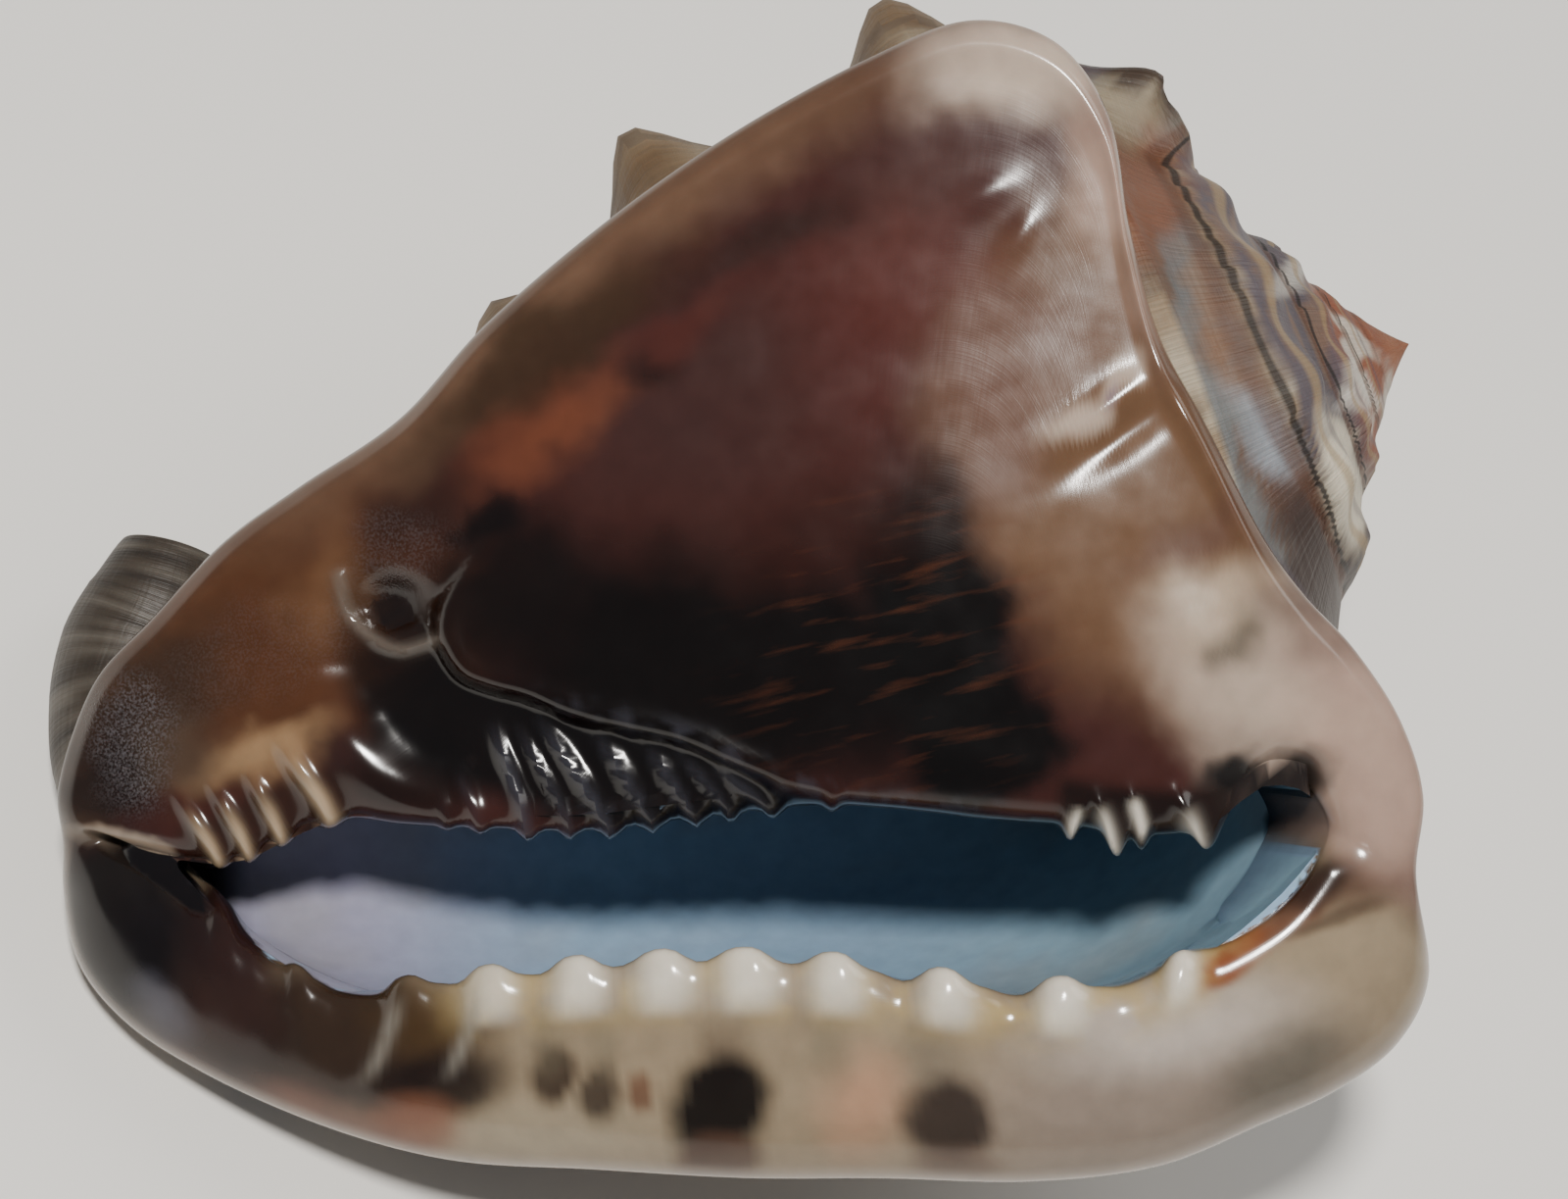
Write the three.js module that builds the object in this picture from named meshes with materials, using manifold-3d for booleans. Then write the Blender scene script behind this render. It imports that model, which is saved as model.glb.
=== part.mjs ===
import * as THREE from 'three';
import { mergeVertices } from 'three/addons/utils/BufferGeometryUtils.js';
import Module from 'manifold-3d';

// A helmet shell lying on its back. Millimetres, +Z up.
// It is modelled face up: x along the aperture, y across it, z out of the mouth,
// and is tipped into the pose in which it lies still at the end.

// Driving dimensions
const APEX = new THREE.Vector3(92.7, 37.9, -45);
const AXIS_TILT = 19.94;
const WHORL_RATIO = 1.75;
const SUTURE_RADIUS = 36;
const SUTURE_PHASE = 0.25;
const SPIRE_SLOPE = 0.62;
const RAMP_HOLLOW = 1.6;
const APEX_NIPPLE = 3.2;
const NIPPLE_REACH = 6;
const WHORL_SWELL = 0.075;
const WALL = 5;
const VENTRAL_FLATTENING = 0.7;

// How it lies: tipped about x and y until it rests on two knobs and the canal's lobe
const REST_TILT = 28.0;
const REST_ROLL = -13.2;
const WORN_FLAT = 1;

// Body whorl from the shoulder to the front tip, as height below the apex and radius
const SHIELD_SIDE = [
  [40, 61], [54, 63], [75, 61], [97, 56], [121, 47.5], [150, 35.5], [178, 23], [196, 13], [205, 0.1],
];
const LIP_SIDE = [
  [44, 63], [58, 68], [80, 68], [104, 65], [128, 58], [154, 49], [181, 38], [200, 24], [209, 0.1],
];
const BACK_SIDE = [
  [42, 62], [54, 65], [75, 61], [97, 53], [121, 42], [150, 29], [178, 17], [196, 9], [205, 0.1],
];
const BACK_ANGLE = 252;
const LIP_FLARE = 0.22;
const UNDER_FACE = 3.5;

// Knob rows: height below the apex, how far the knob by the shield and the others stand
// out, length along the axis, angles
const KNOB_ROWS = [
  { height: 55.5, first: 13, rise: 9, reach: 8, angles: [-8, -46, -84, -122, -158] },
  { height: 95, first: 13.5, rise: 7.5, reach: 8, angles: [-4, -38, -72, -106, -140] },
  { height: 124, first: 6, rise: 4.5, reach: 7, angles: [-2, -34, -66, -98, -130] },
];
const KNOB_HALF_ANGLE = 11;
const KNOB_RIDGE = 0.12;
const SPIRE_KNOB_SPACING = 30;
const SPIRE_KNOB_RISE = 0.07;

// The old lip that crosses the shoulder behind the shield
const VARIX_ANGLE = 14;
const VARIX_HALF_ANGLE = 5;
const VARIX_RISE = 9;

// Height of the mouth side along x
const FACE = [
  [-112, -39], [-98, -33], [-75, -25], [-50, -16], [-25, -9], [0, -4], [25, 0], [60, 3], [92, -1],
];

// Stations round the mouth: outer rim x, y and depth, then inner edge x, y and depth
const SHIELD_STATIONS = [
  [86.5, -38, 34, 74.5, -31, 34],
  [87.5, -27, 34, 72.5, -26.5, 34],
  [84.5, -17, 30, 69, -24, 30],
  [78, -7, 22, 64, -25, 26],
  [71, 0.5, 13, 60, -30, 22],
  [65.5, 8, 7, 54, -32, 22],
  [57, 24.5, 5.5, 46, -32, 22],
  [51, 36, 5, 39, -31, 22],
  [47, 51, 5, 32, -30.5, 22],
  [44, 66.5, 5, 26, -30, 22],
  [37, 76, 5, 20, -29.3, 22],
  [26, 79.2, 5, 13, -28.7, 22],
  [11, 74, 5, 5, -28.5, 22],
  [-15, 59.5, 5, -9, -30, 22],
  [-41.5, 39, 5, -28, -32.5, 20],
  [-54.5, 25.5, 5, -42, -32.3, 18],
  [-69.5, 16, 5, -54, -32, 16],
  [-80.5, 8.5, 5, -63, -31.3, 14],
  [-92, -3, 5, -71, -34, 12],
  [-100, -11, 5, -78, -37.2, 9],
  [-104.5, -20.5, 5, -85, -38, 7],
  [-106.5, -28, 5.5, -93, -36.5, 6],
];
const LIP_STATIONS = [
  [-106.5, -35.5, 14, -97, -34, 20],
  [-107, -43.5, 16, -94, -35, 22],
  [-104.5, -54, 17, -89, -38, 22],
  [-97.5, -62, 18, -82, -45, 20],
  [-85.5, -69, 19, -74, -51.5, 18],
  [-67, -76, 19, -62, -56, 18],
  [-48, -80, 19, -47, -54.7, 18],
  [-26, -80.5, 19, -29.5, -52.8, 18],
  [-5, -81, 19, -7, -51.5, 18],
  [14, -80.5, 19, 10, -51.8, 18],
  [34.5, -80.5, 19, 28, -54, 18],
  [52, -78, 19, 43, -53.6, 18],
  [65.5, -72.5, 20, 53, -49.8, 20],
  [76, -68, 22, 61.5, -46, 24],
  [85, -61.5, 26, 68, -41.5, 30],
  [89.5, -52, 32, 72.3, -36, 34],
];
const SHIELD_RIM = { width: 4, drop: 2.6 };
const LIP_RIM = { width: 14, drop: 10 };
const COLUMELLA_EDGE = { width: 9, drop: 6 };
const LIP_EDGE = { width: 4.5, drop: 3 };
const CANAL_FLOOR = { width: 13, drop: 13 };

// Teeth on the inner edges, as x of the tip and how far it reaches into the mouth
const LIP_TEETH = [-80, -69.5, -54, -42, -29.5, -17.5, -6.5, 6.5, 21.5, 37.5, 52.7];
const LIP_TOOTH = { reach: 2.6, rise: 1.8, half: 3.2, length: 11 };
const COLUMELLA_TEETH = [38.5, 45.5, 51, 58.5];
const COLUMELLA_TOOTH = { reach: 3.2, rise: 0.8, half: 2.6, length: 8 };
const PLAIT_TEETH = [-81.5, -76, -71.5, -64.5, -48.5, -43, -36, -30, -24, -18, -12, -7];
const PLAIT_TOOTH = { reach: 1.6, rise: 0.7, half: 2.2, length: 12 };
const TOOTH_ROOT = 4;
const LIP_SETS = [{ teeth: LIP_TEETH, tooth: LIP_TOOTH, side: 1 }];
const COLUMELLA_SETS = [
  { teeth: COLUMELLA_TEETH, tooth: COLUMELLA_TOOTH, side: -1 },
  { teeth: PLAIT_TEETH, tooth: PLAIT_TOOTH, side: -1 },
];

// The front canal, which turns back behind the shield
const CANAL_ROUTE = [
  [-58, -33, -42], [-76, -34, -46], [-90, -32, -50], [-98, -26, -56],
  [-100, -16, -61], [-99, -8, -64], [-96.5, -1, -66], [-94.5, 7, -68.5],
];
const CANAL_RADII = [10, 12, 12, 12, 12, 12, 11, 8];
const BORE_ROUTE = [
  [-56, -34, -42], [-74, -34, -45], [-88, -32, -50], [-96, -26, -56],
  [-98, -16, -61], [-96.5, -4, -66], [-92, 13, -73],
];
const BORE_RADII = [9, 8, 7, 7, 7, 7, 6];

// The hollow: where it starts and how far it turns, and its share of the whorl
const HOLLOW_START = 120;
const HOLLOW_TURN = 310;
const HOLLOW_MIDDLE = 0.43;
const HOLLOW_SPAN = 0.41;
const HOLLOW_RIGHT = 71;
const HOLLOW_LEFT = -84;
const INNER_SHARE = 0.22;
const EDGE_COVER = 2.5;
const ABOVE_MOUTH = 12;
const BELOW_MOUTH = 16;
const MOUTH_STRETCH = 0.12;
const TURNS_IN = [0.06, 0.3];
const END_STRETCH = 0.2;

// Grid sizes
const BODY_COLUMNS = 60;
const BODY_ROWS = 36;
const SPIRE_ROWS = 14;
const MOUTH_SECTIONS = 124;
const SECTION_POINTS = 14;
const HOLLOW_SIDES = 20;
const HOLLOW_STEPS = 26;
const CANAL_SIDES = 14;
const BORE_SIDES = 10;
const ROUTE_STEPS = 16;
const HALVINGS = 18;
const MERGE_DISTANCE = 0.001;

// The ground that wears its lowest points
const GROUND_SIZE = 400;
const GROUND_DEPTH = 40;

const DEGREE = Math.PI / 180;
const axisDirection = new THREE.Vector3(-Math.cos(AXIS_TILT * DEGREE), -Math.sin(AXIS_TILT * DEGREE), 0);
const shieldDirection = new THREE.Vector3(-Math.sin(AXIS_TILT * DEGREE), Math.cos(AXIS_TILT * DEGREE), 0);
const mix = (a, b, share) => a + (b - a) * share;
const clamp = (value) => Math.min(1, Math.max(0, value));
const smooth = (from, to, value) => {
  const share = clamp((value - from) / (to - from));
  return share * share * (3 - 2 * share);
};
const bell = (distance) => Math.exp(-Math.pow(Math.abs(distance), 1.7));
const softSine = (turn) => Math.sign(Math.sin(turn)) * Math.pow(Math.abs(Math.sin(turn)), 0.7);
const turnBetween = (a, b) => ((a - b + 540) % 360 + 360) % 360 - 180;

// A point at a height below the apex, a radius from the coiling axis and an angle
// round it: 0 towards the shield, 90 out of the mouth, 180 towards the lip
function fromAxis(height, radius, angle) {
  const across = radius * Math.cos(angle * DEGREE);
  const out = radius * Math.sin(angle * DEGREE);
  return APEX.clone()
    .addScaledVector(axisDirection, height)
    .addScaledVector(shieldDirection, across)
    .add(new THREE.Vector3(0, 0, out));
}

// Growth of the last whorl: 1 at the lip, falling to 0 a full turn earlier
const growthAt = (angle) => (540 - (angle < 180 ? angle + 360 : angle)) / 360;
const sutureAt = (growth) => SUTURE_RADIUS * Math.pow(WHORL_RATIO, growth - SUTURE_PHASE);
const coneHeight = (radius) => SPIRE_SLOPE * radius + APEX_NIPPLE * (1 - Math.exp(-radius / NIPPLE_REACH));

const shieldProfile = new THREE.SplineCurve(SHIELD_SIDE.map(([t, r]) => new THREE.Vector2(t, r)));
const backProfile = new THREE.SplineCurve(BACK_SIDE.map(([t, r]) => new THREE.Vector2(t, r)));
const lipProfile = new THREE.SplineCurve(LIP_SIDE.map(([t, r]) => new THREE.Vector2(t, r)));

function profileAt(share, angle) {
  const shieldPoint = shieldProfile.getPoint(share);
  const lipPoint = lipProfile.getPoint(share);
  let point;
  if (angle > 180) {
    const backPoint = backProfile.getPoint(share);
    point = lipPoint.lerp(backPoint, smooth(180, BACK_ANGLE, angle));
    point.lerp(shieldPoint, smooth(BACK_ANGLE, 360, angle));
  } else {
    point = shieldPoint.lerp(lipPoint, smooth(95, 150, angle));
  }
  const flat = angle < 180 ? smooth(0, 85, angle) * (1 - smooth(95, 150, angle)) : 0;
  const flare = 1 + LIP_FLARE * smooth(100, 140, angle) * (1 - smooth(150, 205, angle));
  const radius = point.y * mix(1, VENTRAL_FLATTENING, flat) * flare;
  const height = point.x - 4 * flat * (1 - share);
  return new THREE.Vector2(height, radius);
}

// Height of the spire and of the ramp up to the shoulder
function rampHeight(radius, angle, growth) {
  const suture = sutureAt(growth);
  if (radius <= suture) {
    const whorl = Math.log(Math.max(radius, 0.01) / suture) / Math.log(WHORL_RATIO);
    const place = whorl - Math.floor(whorl);
    const swell = 1.9 * Math.pow(place, 1.6) * Math.pow(1 - place, 0.45);
    const beat = (1 + Math.cos((angle / SPIRE_KNOB_SPACING) * 2 * Math.PI)) / 2;
    const knob = SPIRE_KNOB_RISE * bell((place - 0.72) / 0.2) * beat * smooth(8, 16, radius);
    const fade = smooth(1, 8, radius);
    return coneHeight(radius) - fade * radius * (WHORL_SWELL * swell + knob);
  }
  const shoulder = profileAt(0, angle);
  const place = clamp((radius - suture) / (shoulder.y - suture));
  const hollow = RAMP_HOLLOW * Math.sin(Math.PI * place);
  return mix(coneHeight(suture), shoulder.x, place) + hollow;
}

function spireHeight(radius, angle) {
  const growth = growthAt(angle);
  const late = angle <= 180 ? smooth(125, 180, angle) : 0;
  const early = rampHeight(radius, angle, growth);
  return late > 0 ? mix(early, rampHeight(radius, angle, growth + 1), late) : early;
}

function knobRise(height, angle) {
  let rise = 0;
  for (const row of KNOB_ROWS) {
    for (const [place, knobAngle] of row.angles.entries()) {
      const along = (height - row.height) / row.reach;
      const round = turnBetween(angle, knobAngle) / KNOB_HALF_ANGLE;
      rise += (place === 0 ? row.first : row.rise) * bell(Math.hypot(along, round));
    }
    rise += KNOB_RIDGE * row.rise * bell((height - row.height) / row.reach) * (angle > 180 || angle < 10 ? 1 : 0);
  }
  return rise;
}

function varixRise(height, radius, angle) {
  const across = bell(turnBetween(angle, VARIX_ANGLE) / VARIX_HALF_ANGLE);
  const along = smooth(38, 48, radius) * (1 - smooth(34, 48, height));
  return VARIX_RISE * across * along;
}

// Outside of the coiled body: rows of a sphere are drawn out along the profile
function meridianPoint(share, angle) {
  const spireShare = SPIRE_ROWS / BODY_ROWS;
  if (share < spireShare) {
    const shoulder = profileAt(0, angle);
    const radius = shoulder.y * Math.pow(share / spireShare, 1.15);
    return new THREE.Vector2(spireHeight(radius, angle), radius);
  }
  return profileAt(Math.pow((share - spireShare) / (1 - spireShare), 0.92), angle);
}

function bodyPoint(share, angle) {
  const point = meridianPoint(share, angle);
  const before = meridianPoint(Math.max(0, share - 0.01), angle);
  const after = meridianPoint(Math.min(1, share + 0.01), angle);
  const normal = new THREE.Vector2(before.y - after.y, after.x - before.x).normalize();
  const rise = knobRise(point.x, angle) * smooth(30, 50, point.y + 20) + varixRise(point.x, point.y, angle);
  point.addScaledVector(normal, rise);
  const place = fromAxis(point.x, Math.max(0, point.y), angle);
  place.z = Math.min(place.z, faceHeight(place.x) - UNDER_FACE);
  return place;
}

// Moves the points of a closed stock shape and merges them into one skin
function shaped(geometry, move) {
  const position = geometry.attributes.position;
  const uv = geometry.attributes.uv;
  for (let i = 0; i < position.count; i += 1) {
    const start = new THREE.Vector3().fromBufferAttribute(position, i);
    const moved = move(start, uv.getX(i), uv.getY(i));
    position.setXYZ(i, moved.x, moved.y, moved.z);
  }
  geometry.deleteAttribute('normal');
  geometry.deleteAttribute('uv');
  return mergeVertices(geometry, MERGE_DISTANCE);
}

function bodyGeometry() {
  const sphere = new THREE.SphereGeometry(1, BODY_COLUMNS, BODY_ROWS);
  return shaped(sphere, (start, u, v) => {
    const share = Math.acos(THREE.MathUtils.clamp(start.y, -1, 1)) / Math.PI;
    const pole = share < 1e-6 || share > 1 - 1e-6;
    const angle = pole ? 0 : ((1 - u) * 360) % 360;
    return bodyPoint(share, angle);
  });
}

// The mouth side: shield and lip are one broad rim round the aperture
const stations = [...SHIELD_STATIONS, ...LIP_STATIONS];
const rimCurve = new THREE.CatmullRomCurve3(stations.map(([x, y, d]) => new THREE.Vector3(x, y, d)), true);
const edgeCurve = new THREE.CatmullRomCurve3(stations.map((s) => new THREE.Vector3(s[3], s[4], s[5])), true);
const faceCurve = new THREE.SplineCurve(FACE.map(([x, z]) => new THREE.Vector2(x, z)));
const LIP_START = SHIELD_STATIONS.length / stations.length;

function faceHeight(x) {
  let low = 0;
  let high = 1;
  for (let step = 0; step < HALVINGS; step += 1) {
    const middle = (low + high) / 2;
    if (faceCurve.getPoint(middle).x < x) low = middle;
    else high = middle;
  }
  return faceCurve.getPoint(low).y;
}

// 1 on the lip and 0 on the shield
function lipness(loop) {
  return smooth(LIP_START - 0.03, LIP_START + 0.03, loop) * (1 - smooth(0.975, 1, loop));
}

// 1 where the lip's front end runs down into the canal
function canalShare(loop) {
  const first = LIP_START;
  const last = LIP_START + 4.5 / stations.length;
  return smooth(first - 0.02, first + 0.01, loop) * (1 - smooth(first + 0.05, last, loop));
}

const quarterRound = (share) => (share >= 1 ? 0 : 1 - Math.sqrt(1 - (1 - share) * (1 - share)));

function toothAt(x, teeth, tooth) {
  return teeth.reduce((sum, tip) => sum + bell((x - tip) / tooth.half), 0);
}

function mouthPoint(loop, around) {
  const rim = rimCurve.getPoint(loop);
  const edge = edgeCurve.getPoint(loop);
  const width = Math.hypot(rim.x - edge.x, rim.y - edge.y);
  const lip = lipness(loop);
  const front = around <= 0.5;
  const inward = (1 + Math.cos(2 * Math.PI * around)) / 2;
  const x = mix(edge.x, rim.x, inward);
  let y = mix(edge.y, rim.y, inward);
  const fromEdge = inward * width;
  const fromRim = width - fromEdge;
  const rimWidth = mix(SHIELD_RIM.width, LIP_RIM.width, lip);
  const rimDrop = mix(SHIELD_RIM.drop, LIP_RIM.drop, lip);
  const floor = canalShare(loop);
  const edgeWidth = mix(mix(COLUMELLA_EDGE.width, LIP_EDGE.width, lip), CANAL_FLOOR.width, floor);
  const edgeDrop = mix(mix(COLUMELLA_EDGE.drop, LIP_EDGE.drop, lip), CANAL_FLOOR.drop, floor);
  let z = faceHeight(x);
  if (front) {
    z -= rimDrop * quarterRound(fromRim / rimWidth) + edgeDrop * quarterRound(fromEdge / edgeWidth);
    const sets = lip > 0.5 ? LIP_SETS : COLUMELLA_SETS;
    for (const { teeth, tooth, side } of sets) {
      const near = toothAt(x, teeth, tooth) * (1 - smooth(0, tooth.length, fromEdge));
      y += side * tooth.reach * near * (1 - smooth(0, TOOTH_ROOT, fromEdge));
      z += tooth.rise * near;
    }
  } else {
    const back = 1 - inward;
    const under = Math.pow(Math.abs(Math.sin(2 * Math.PI * around)), 0.4);
    const depth = mix(rim.z, edge.z, Math.pow(back, mix(1.6, 1, lip)));
    const start = mix(edgeDrop, rimDrop, inward);
    z -= mix(start, depth, under);
  }
  return new THREE.Vector3(x, y, z);
}

function mouthGeometry() {
  const ring = new THREE.TorusGeometry(2, 1, SECTION_POINTS, MOUTH_SECTIONS);
  return shaped(ring, (start, u, v) => mouthPoint(u % 1, v % 1));
}

// The edge of the aperture at a given x, on the lip or on the columella
function edgeAt(x, onLip) {
  let low = onLip ? 1 : 0;
  let high = LIP_START;
  for (let step = 0; step < HALVINGS; step += 1) {
    const middle = (low + high) / 2;
    if (edgeCurve.getPoint(middle % 1).x > x) low = middle;
    else high = middle;
  }
  return low % 1;
}

// The hollow: from the aperture down into the last whorl, round the back and in
// under the shield, narrowing to its end
function hollowGeometry() {
  const drum = new THREE.CylinderGeometry(1, 1, 1, HOLLOW_SIDES, HOLLOW_STEPS);
  return shaped(drum, (start) => {
    const reach = Math.hypot(start.x, start.z);
    const turn = Math.atan2(start.z, start.x);
    const along = 0.5 - start.y;
    const toFront = (1 + reach * Math.cos(turn)) / 2;
    const mouthX = mix(HOLLOW_RIGHT, HOLLOW_LEFT, toFront);
    const lipLoop = edgeAt(mouthX, true);
    const columellaLoop = edgeAt(mouthX, false);
    const lipEdge = edgeCurve.getPoint(lipLoop);
    const columellaEdge = edgeCurve.getPoint(columellaLoop);
    const across = 0.5 + 0.5 * reach * softSine(turn);
    const mouthY = mix(columellaEdge.y + EDGE_COVER, lipEdge.y - EDGE_COVER, across);
    const mouthZ = faceHeight(mouthX) + mix(ABOVE_MOUTH, -BELOW_MOUTH, clamp(along / MOUTH_STRETCH));
    const atMouth = new THREE.Vector3(mouthX, mouthY, mouthZ);

    const angle = (HOLLOW_START + HOLLOW_TURN * along) % 360;
    const closing = Math.sqrt(clamp((1 - along) / END_STRETCH)) * reach;
    const share = HOLLOW_MIDDLE + HOLLOW_SPAN * closing * Math.cos(turn);
    const profile = profileAt(share, angle);
    const outer = 1 - WALL / Math.max(profile.y, 8);
    const half = (outer - INNER_SHARE) / 2;
    const radius = profile.y * (INNER_SHARE + half + half * closing * softSine(turn));
    const inWhorl = fromAxis(profile.x + WALL * 0.6, radius, angle);
    inWhorl.z = Math.min(inWhorl.z, faceHeight(inWhorl.x) - UNDER_FACE - WALL);
    return atMouth.lerp(inWhorl, smooth(...TURNS_IN, along));
  });
}

// A round bar along a route whose radius changes on the way
function routeGeometry(route, radii, sides, steps) {
  const curve = new THREE.CatmullRomCurve3(route.map((p) => new THREE.Vector3(...p)));
  const drum = new THREE.CylinderGeometry(1, 1, 1, sides, steps);
  const frames = curve.computeFrenetFrames(steps);
  return shaped(drum, (start) => {
    const along = 0.5 - start.y;
    const step = Math.round(along * steps);
    const centre = curve.getPoint(along);
    const place = along * (radii.length - 1);
    const first = Math.min(radii.length - 2, Math.floor(place));
    const radius = mix(radii[first], radii[first + 1], place - first);
    return centre
      .addScaledVector(frames.normals[step], start.x * radius)
      .addScaledVector(frames.binormals[step], start.z * radius);
  });
}

const wasm = await Module();
wasm.setup();

function solidOf(geometry) {
  const vertProperties = new Float32Array(geometry.attributes.position.array);
  const triVerts = new Uint32Array(geometry.index.array);
  let solid = new wasm.Manifold(new wasm.Mesh({ numProp: 3, vertProperties, triVerts }));
  if (solid.volume() < 0) {
    for (let i = 0; i < triVerts.length; i += 3) {
      [triVerts[i], triVerts[i + 1]] = [triVerts[i + 1], triVerts[i]];
    }
    solid = new wasm.Manifold(new wasm.Mesh({ numProp: 3, vertProperties, triVerts }));
  }
  return solid;
}

function helmetShell() {
  const body = solidOf(bodyGeometry());
  const hollow = solidOf(hollowGeometry());
  const mouth = solidOf(mouthGeometry());
  const canal = solidOf(routeGeometry(CANAL_ROUTE, CANAL_RADII, CANAL_SIDES, ROUTE_STEPS));
  const bore = solidOf(routeGeometry(BORE_ROUTE, BORE_RADII, BORE_SIDES, ROUTE_STEPS));
  return body.add(canal).subtract(hollow).add(mouth).subtract(bore);
}

function geometryOf(solid) {
  const skin = solid.getMesh();
  const geometry = new THREE.BufferGeometry();
  geometry.setAttribute('position', new THREE.BufferAttribute(new Float32Array(skin.vertProperties), 3));
  geometry.setIndex(new THREE.BufferAttribute(new Uint32Array(skin.triVerts), 1));
  return geometry;
}

// Tips the shell into its resting pose, wears its lowest points flat and sets it on z = 0
function laidDown(solid) {
  const tipped = geometryOf(solid);
  const pose = new THREE.Euler(REST_TILT * DEGREE, REST_ROLL * DEGREE, 0);
  tipped.applyMatrix4(new THREE.Matrix4().makeRotationFromEuler(pose));
  tipped.computeBoundingBox();
  const ground = new THREE.BoxGeometry(GROUND_SIZE, GROUND_SIZE, GROUND_DEPTH);
  ground.translate(0, 0, tipped.boundingBox.min.z + WORN_FLAT - GROUND_DEPTH / 2);
  const worn = geometryOf(solidOf(tipped).subtract(solidOf(shaped(ground, (start) => start))));
  worn.computeBoundingBox();
  const low = worn.boundingBox.min;
  const high = worn.boundingBox.max;
  return worn.translate(-(low.x + high.x) / 2, -(low.y + high.y) / 2, -low.z);
}

const material = new THREE.MeshStandardMaterial({ color: 0xb98d6c, roughness: 0.35, metalness: 0 });
const shell = new THREE.Mesh(laidDown(helmetShell()), material);
shell.name = 'helmet_shell';

const part = new THREE.Group();
part.add(shell);

export default part;
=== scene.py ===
import math

import bmesh
import bpy
import numpy as np
from mathutils import Matrix, Vector, kdtree, noise


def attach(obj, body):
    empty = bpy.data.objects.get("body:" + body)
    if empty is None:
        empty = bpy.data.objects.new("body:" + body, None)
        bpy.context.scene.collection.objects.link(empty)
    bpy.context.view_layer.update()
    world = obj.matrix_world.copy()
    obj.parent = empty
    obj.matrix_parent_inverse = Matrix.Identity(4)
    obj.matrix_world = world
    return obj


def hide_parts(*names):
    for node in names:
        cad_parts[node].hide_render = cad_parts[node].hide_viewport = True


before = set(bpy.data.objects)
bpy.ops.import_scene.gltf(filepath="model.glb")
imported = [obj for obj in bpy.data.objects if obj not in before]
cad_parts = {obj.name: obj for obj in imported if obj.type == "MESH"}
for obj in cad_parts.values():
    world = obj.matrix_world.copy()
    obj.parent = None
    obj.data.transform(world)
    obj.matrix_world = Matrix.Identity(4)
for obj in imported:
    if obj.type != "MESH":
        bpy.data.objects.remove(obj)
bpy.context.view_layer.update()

# The view. The shell is looked at straight down on its mouth from half a metre away. Its own
# measures are millimetres, with x along the mouth, y across it and z out of it towards the eye.
MM = 0.001
EYE_DISTANCE = 500
REST_TILT = math.radians(28.0)
REST_ROLL = math.radians(-13.2)
LAID_AT = Vector((-2.86, -15.05, 92.01))
SEEN_WIDTH = 1600 / 7.5
SENSOR_WIDTH = 36

laying = Matrix.Rotation(REST_TILT, 4, "X") @ Matrix.Rotation(REST_ROLL, 4, "Y")
laying.translation = LAID_AT * MM

camera = bpy.data.objects.new("camera", bpy.data.cameras.new("camera"))
camera.matrix_world = laying @ Matrix.Translation((0, 0, EYE_DISTANCE * MM))
camera.data.sensor_width = SENSOR_WIDTH
camera.data.lens = SENSOR_WIDTH * EYE_DISTANCE / SEEN_WIDTH
camera.data.clip_start = 0.01
bpy.context.scene.collection.objects.link(camera)
bpy.context.scene.camera = camera


# The floor: one plain pale sheet that the shell lies on, and the soft lights over it. They
# are studio fittings and no part of the shell.
FLOOR_SIZE = 6.0
FLOOR_COLOUR = (0.80, 0.78, 0.74, 1)
FLOOR_ROUGHNESS = 0.9
LIGHTS = [
    ("key", (0.05, 0.33, 0.97), 0.14, 15, (1.0, 0.97, 0.93)),
    ("back", (0.9, 0.6, 0.5), 0.8, 5, (1.0, 0.98, 0.95)),
]
ROOM_COLOUR = (0.86, 0.9, 0.95, 1)
ROOM_STRENGTH = 0.22


def laid_mesh(name, bm):
    mesh = bpy.data.meshes.new(name)
    bm.to_mesh(mesh)
    bm.free()
    placed = bpy.data.objects.new(name, mesh)
    bpy.context.scene.collection.objects.link(placed)
    return placed


def soft_light(name, place, width, power, colour):
    """A round soft lamp at a place in metres from the shell, turned towards it."""
    lamp = bpy.data.lights.new(name, "AREA")
    lamp.shape = "DISK"
    lamp.size = width
    lamp.energy = power
    lamp.color = colour
    holder = bpy.data.objects.new(name, lamp)
    spot = laying @ Vector(place)
    facing = (spot - laying.translation).to_track_quat("Z", "Y").to_matrix().to_4x4()
    holder.matrix_world = Matrix.Translation(spot) @ facing
    bpy.context.scene.collection.objects.link(holder)


floor_bm = bmesh.new()
bmesh.ops.create_grid(floor_bm, x_segments=1, y_segments=1, size=FLOOR_SIZE / 2)
floor = laid_mesh("floor", floor_bm)
floor_finish = bpy.data.materials.new("floor_paper")
floor_finish.use_nodes = True
floor_shader = floor_finish.node_tree.nodes["Principled BSDF"]
floor_shader.inputs["Base Color"].default_value = FLOOR_COLOUR
floor_shader.inputs["Roughness"].default_value = FLOOR_ROUGHNESS
floor.data.materials.append(floor_finish)

for light in LIGHTS:
    soft_light(*light)
world = bpy.data.worlds.new("room")
world.use_nodes = True
world.node_tree.nodes["Background"].inputs["Color"].default_value = ROOM_COLOUR
world.node_tree.nodes["Background"].inputs["Strength"].default_value = ROOM_STRENGTH
bpy.context.scene.world = world


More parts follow.
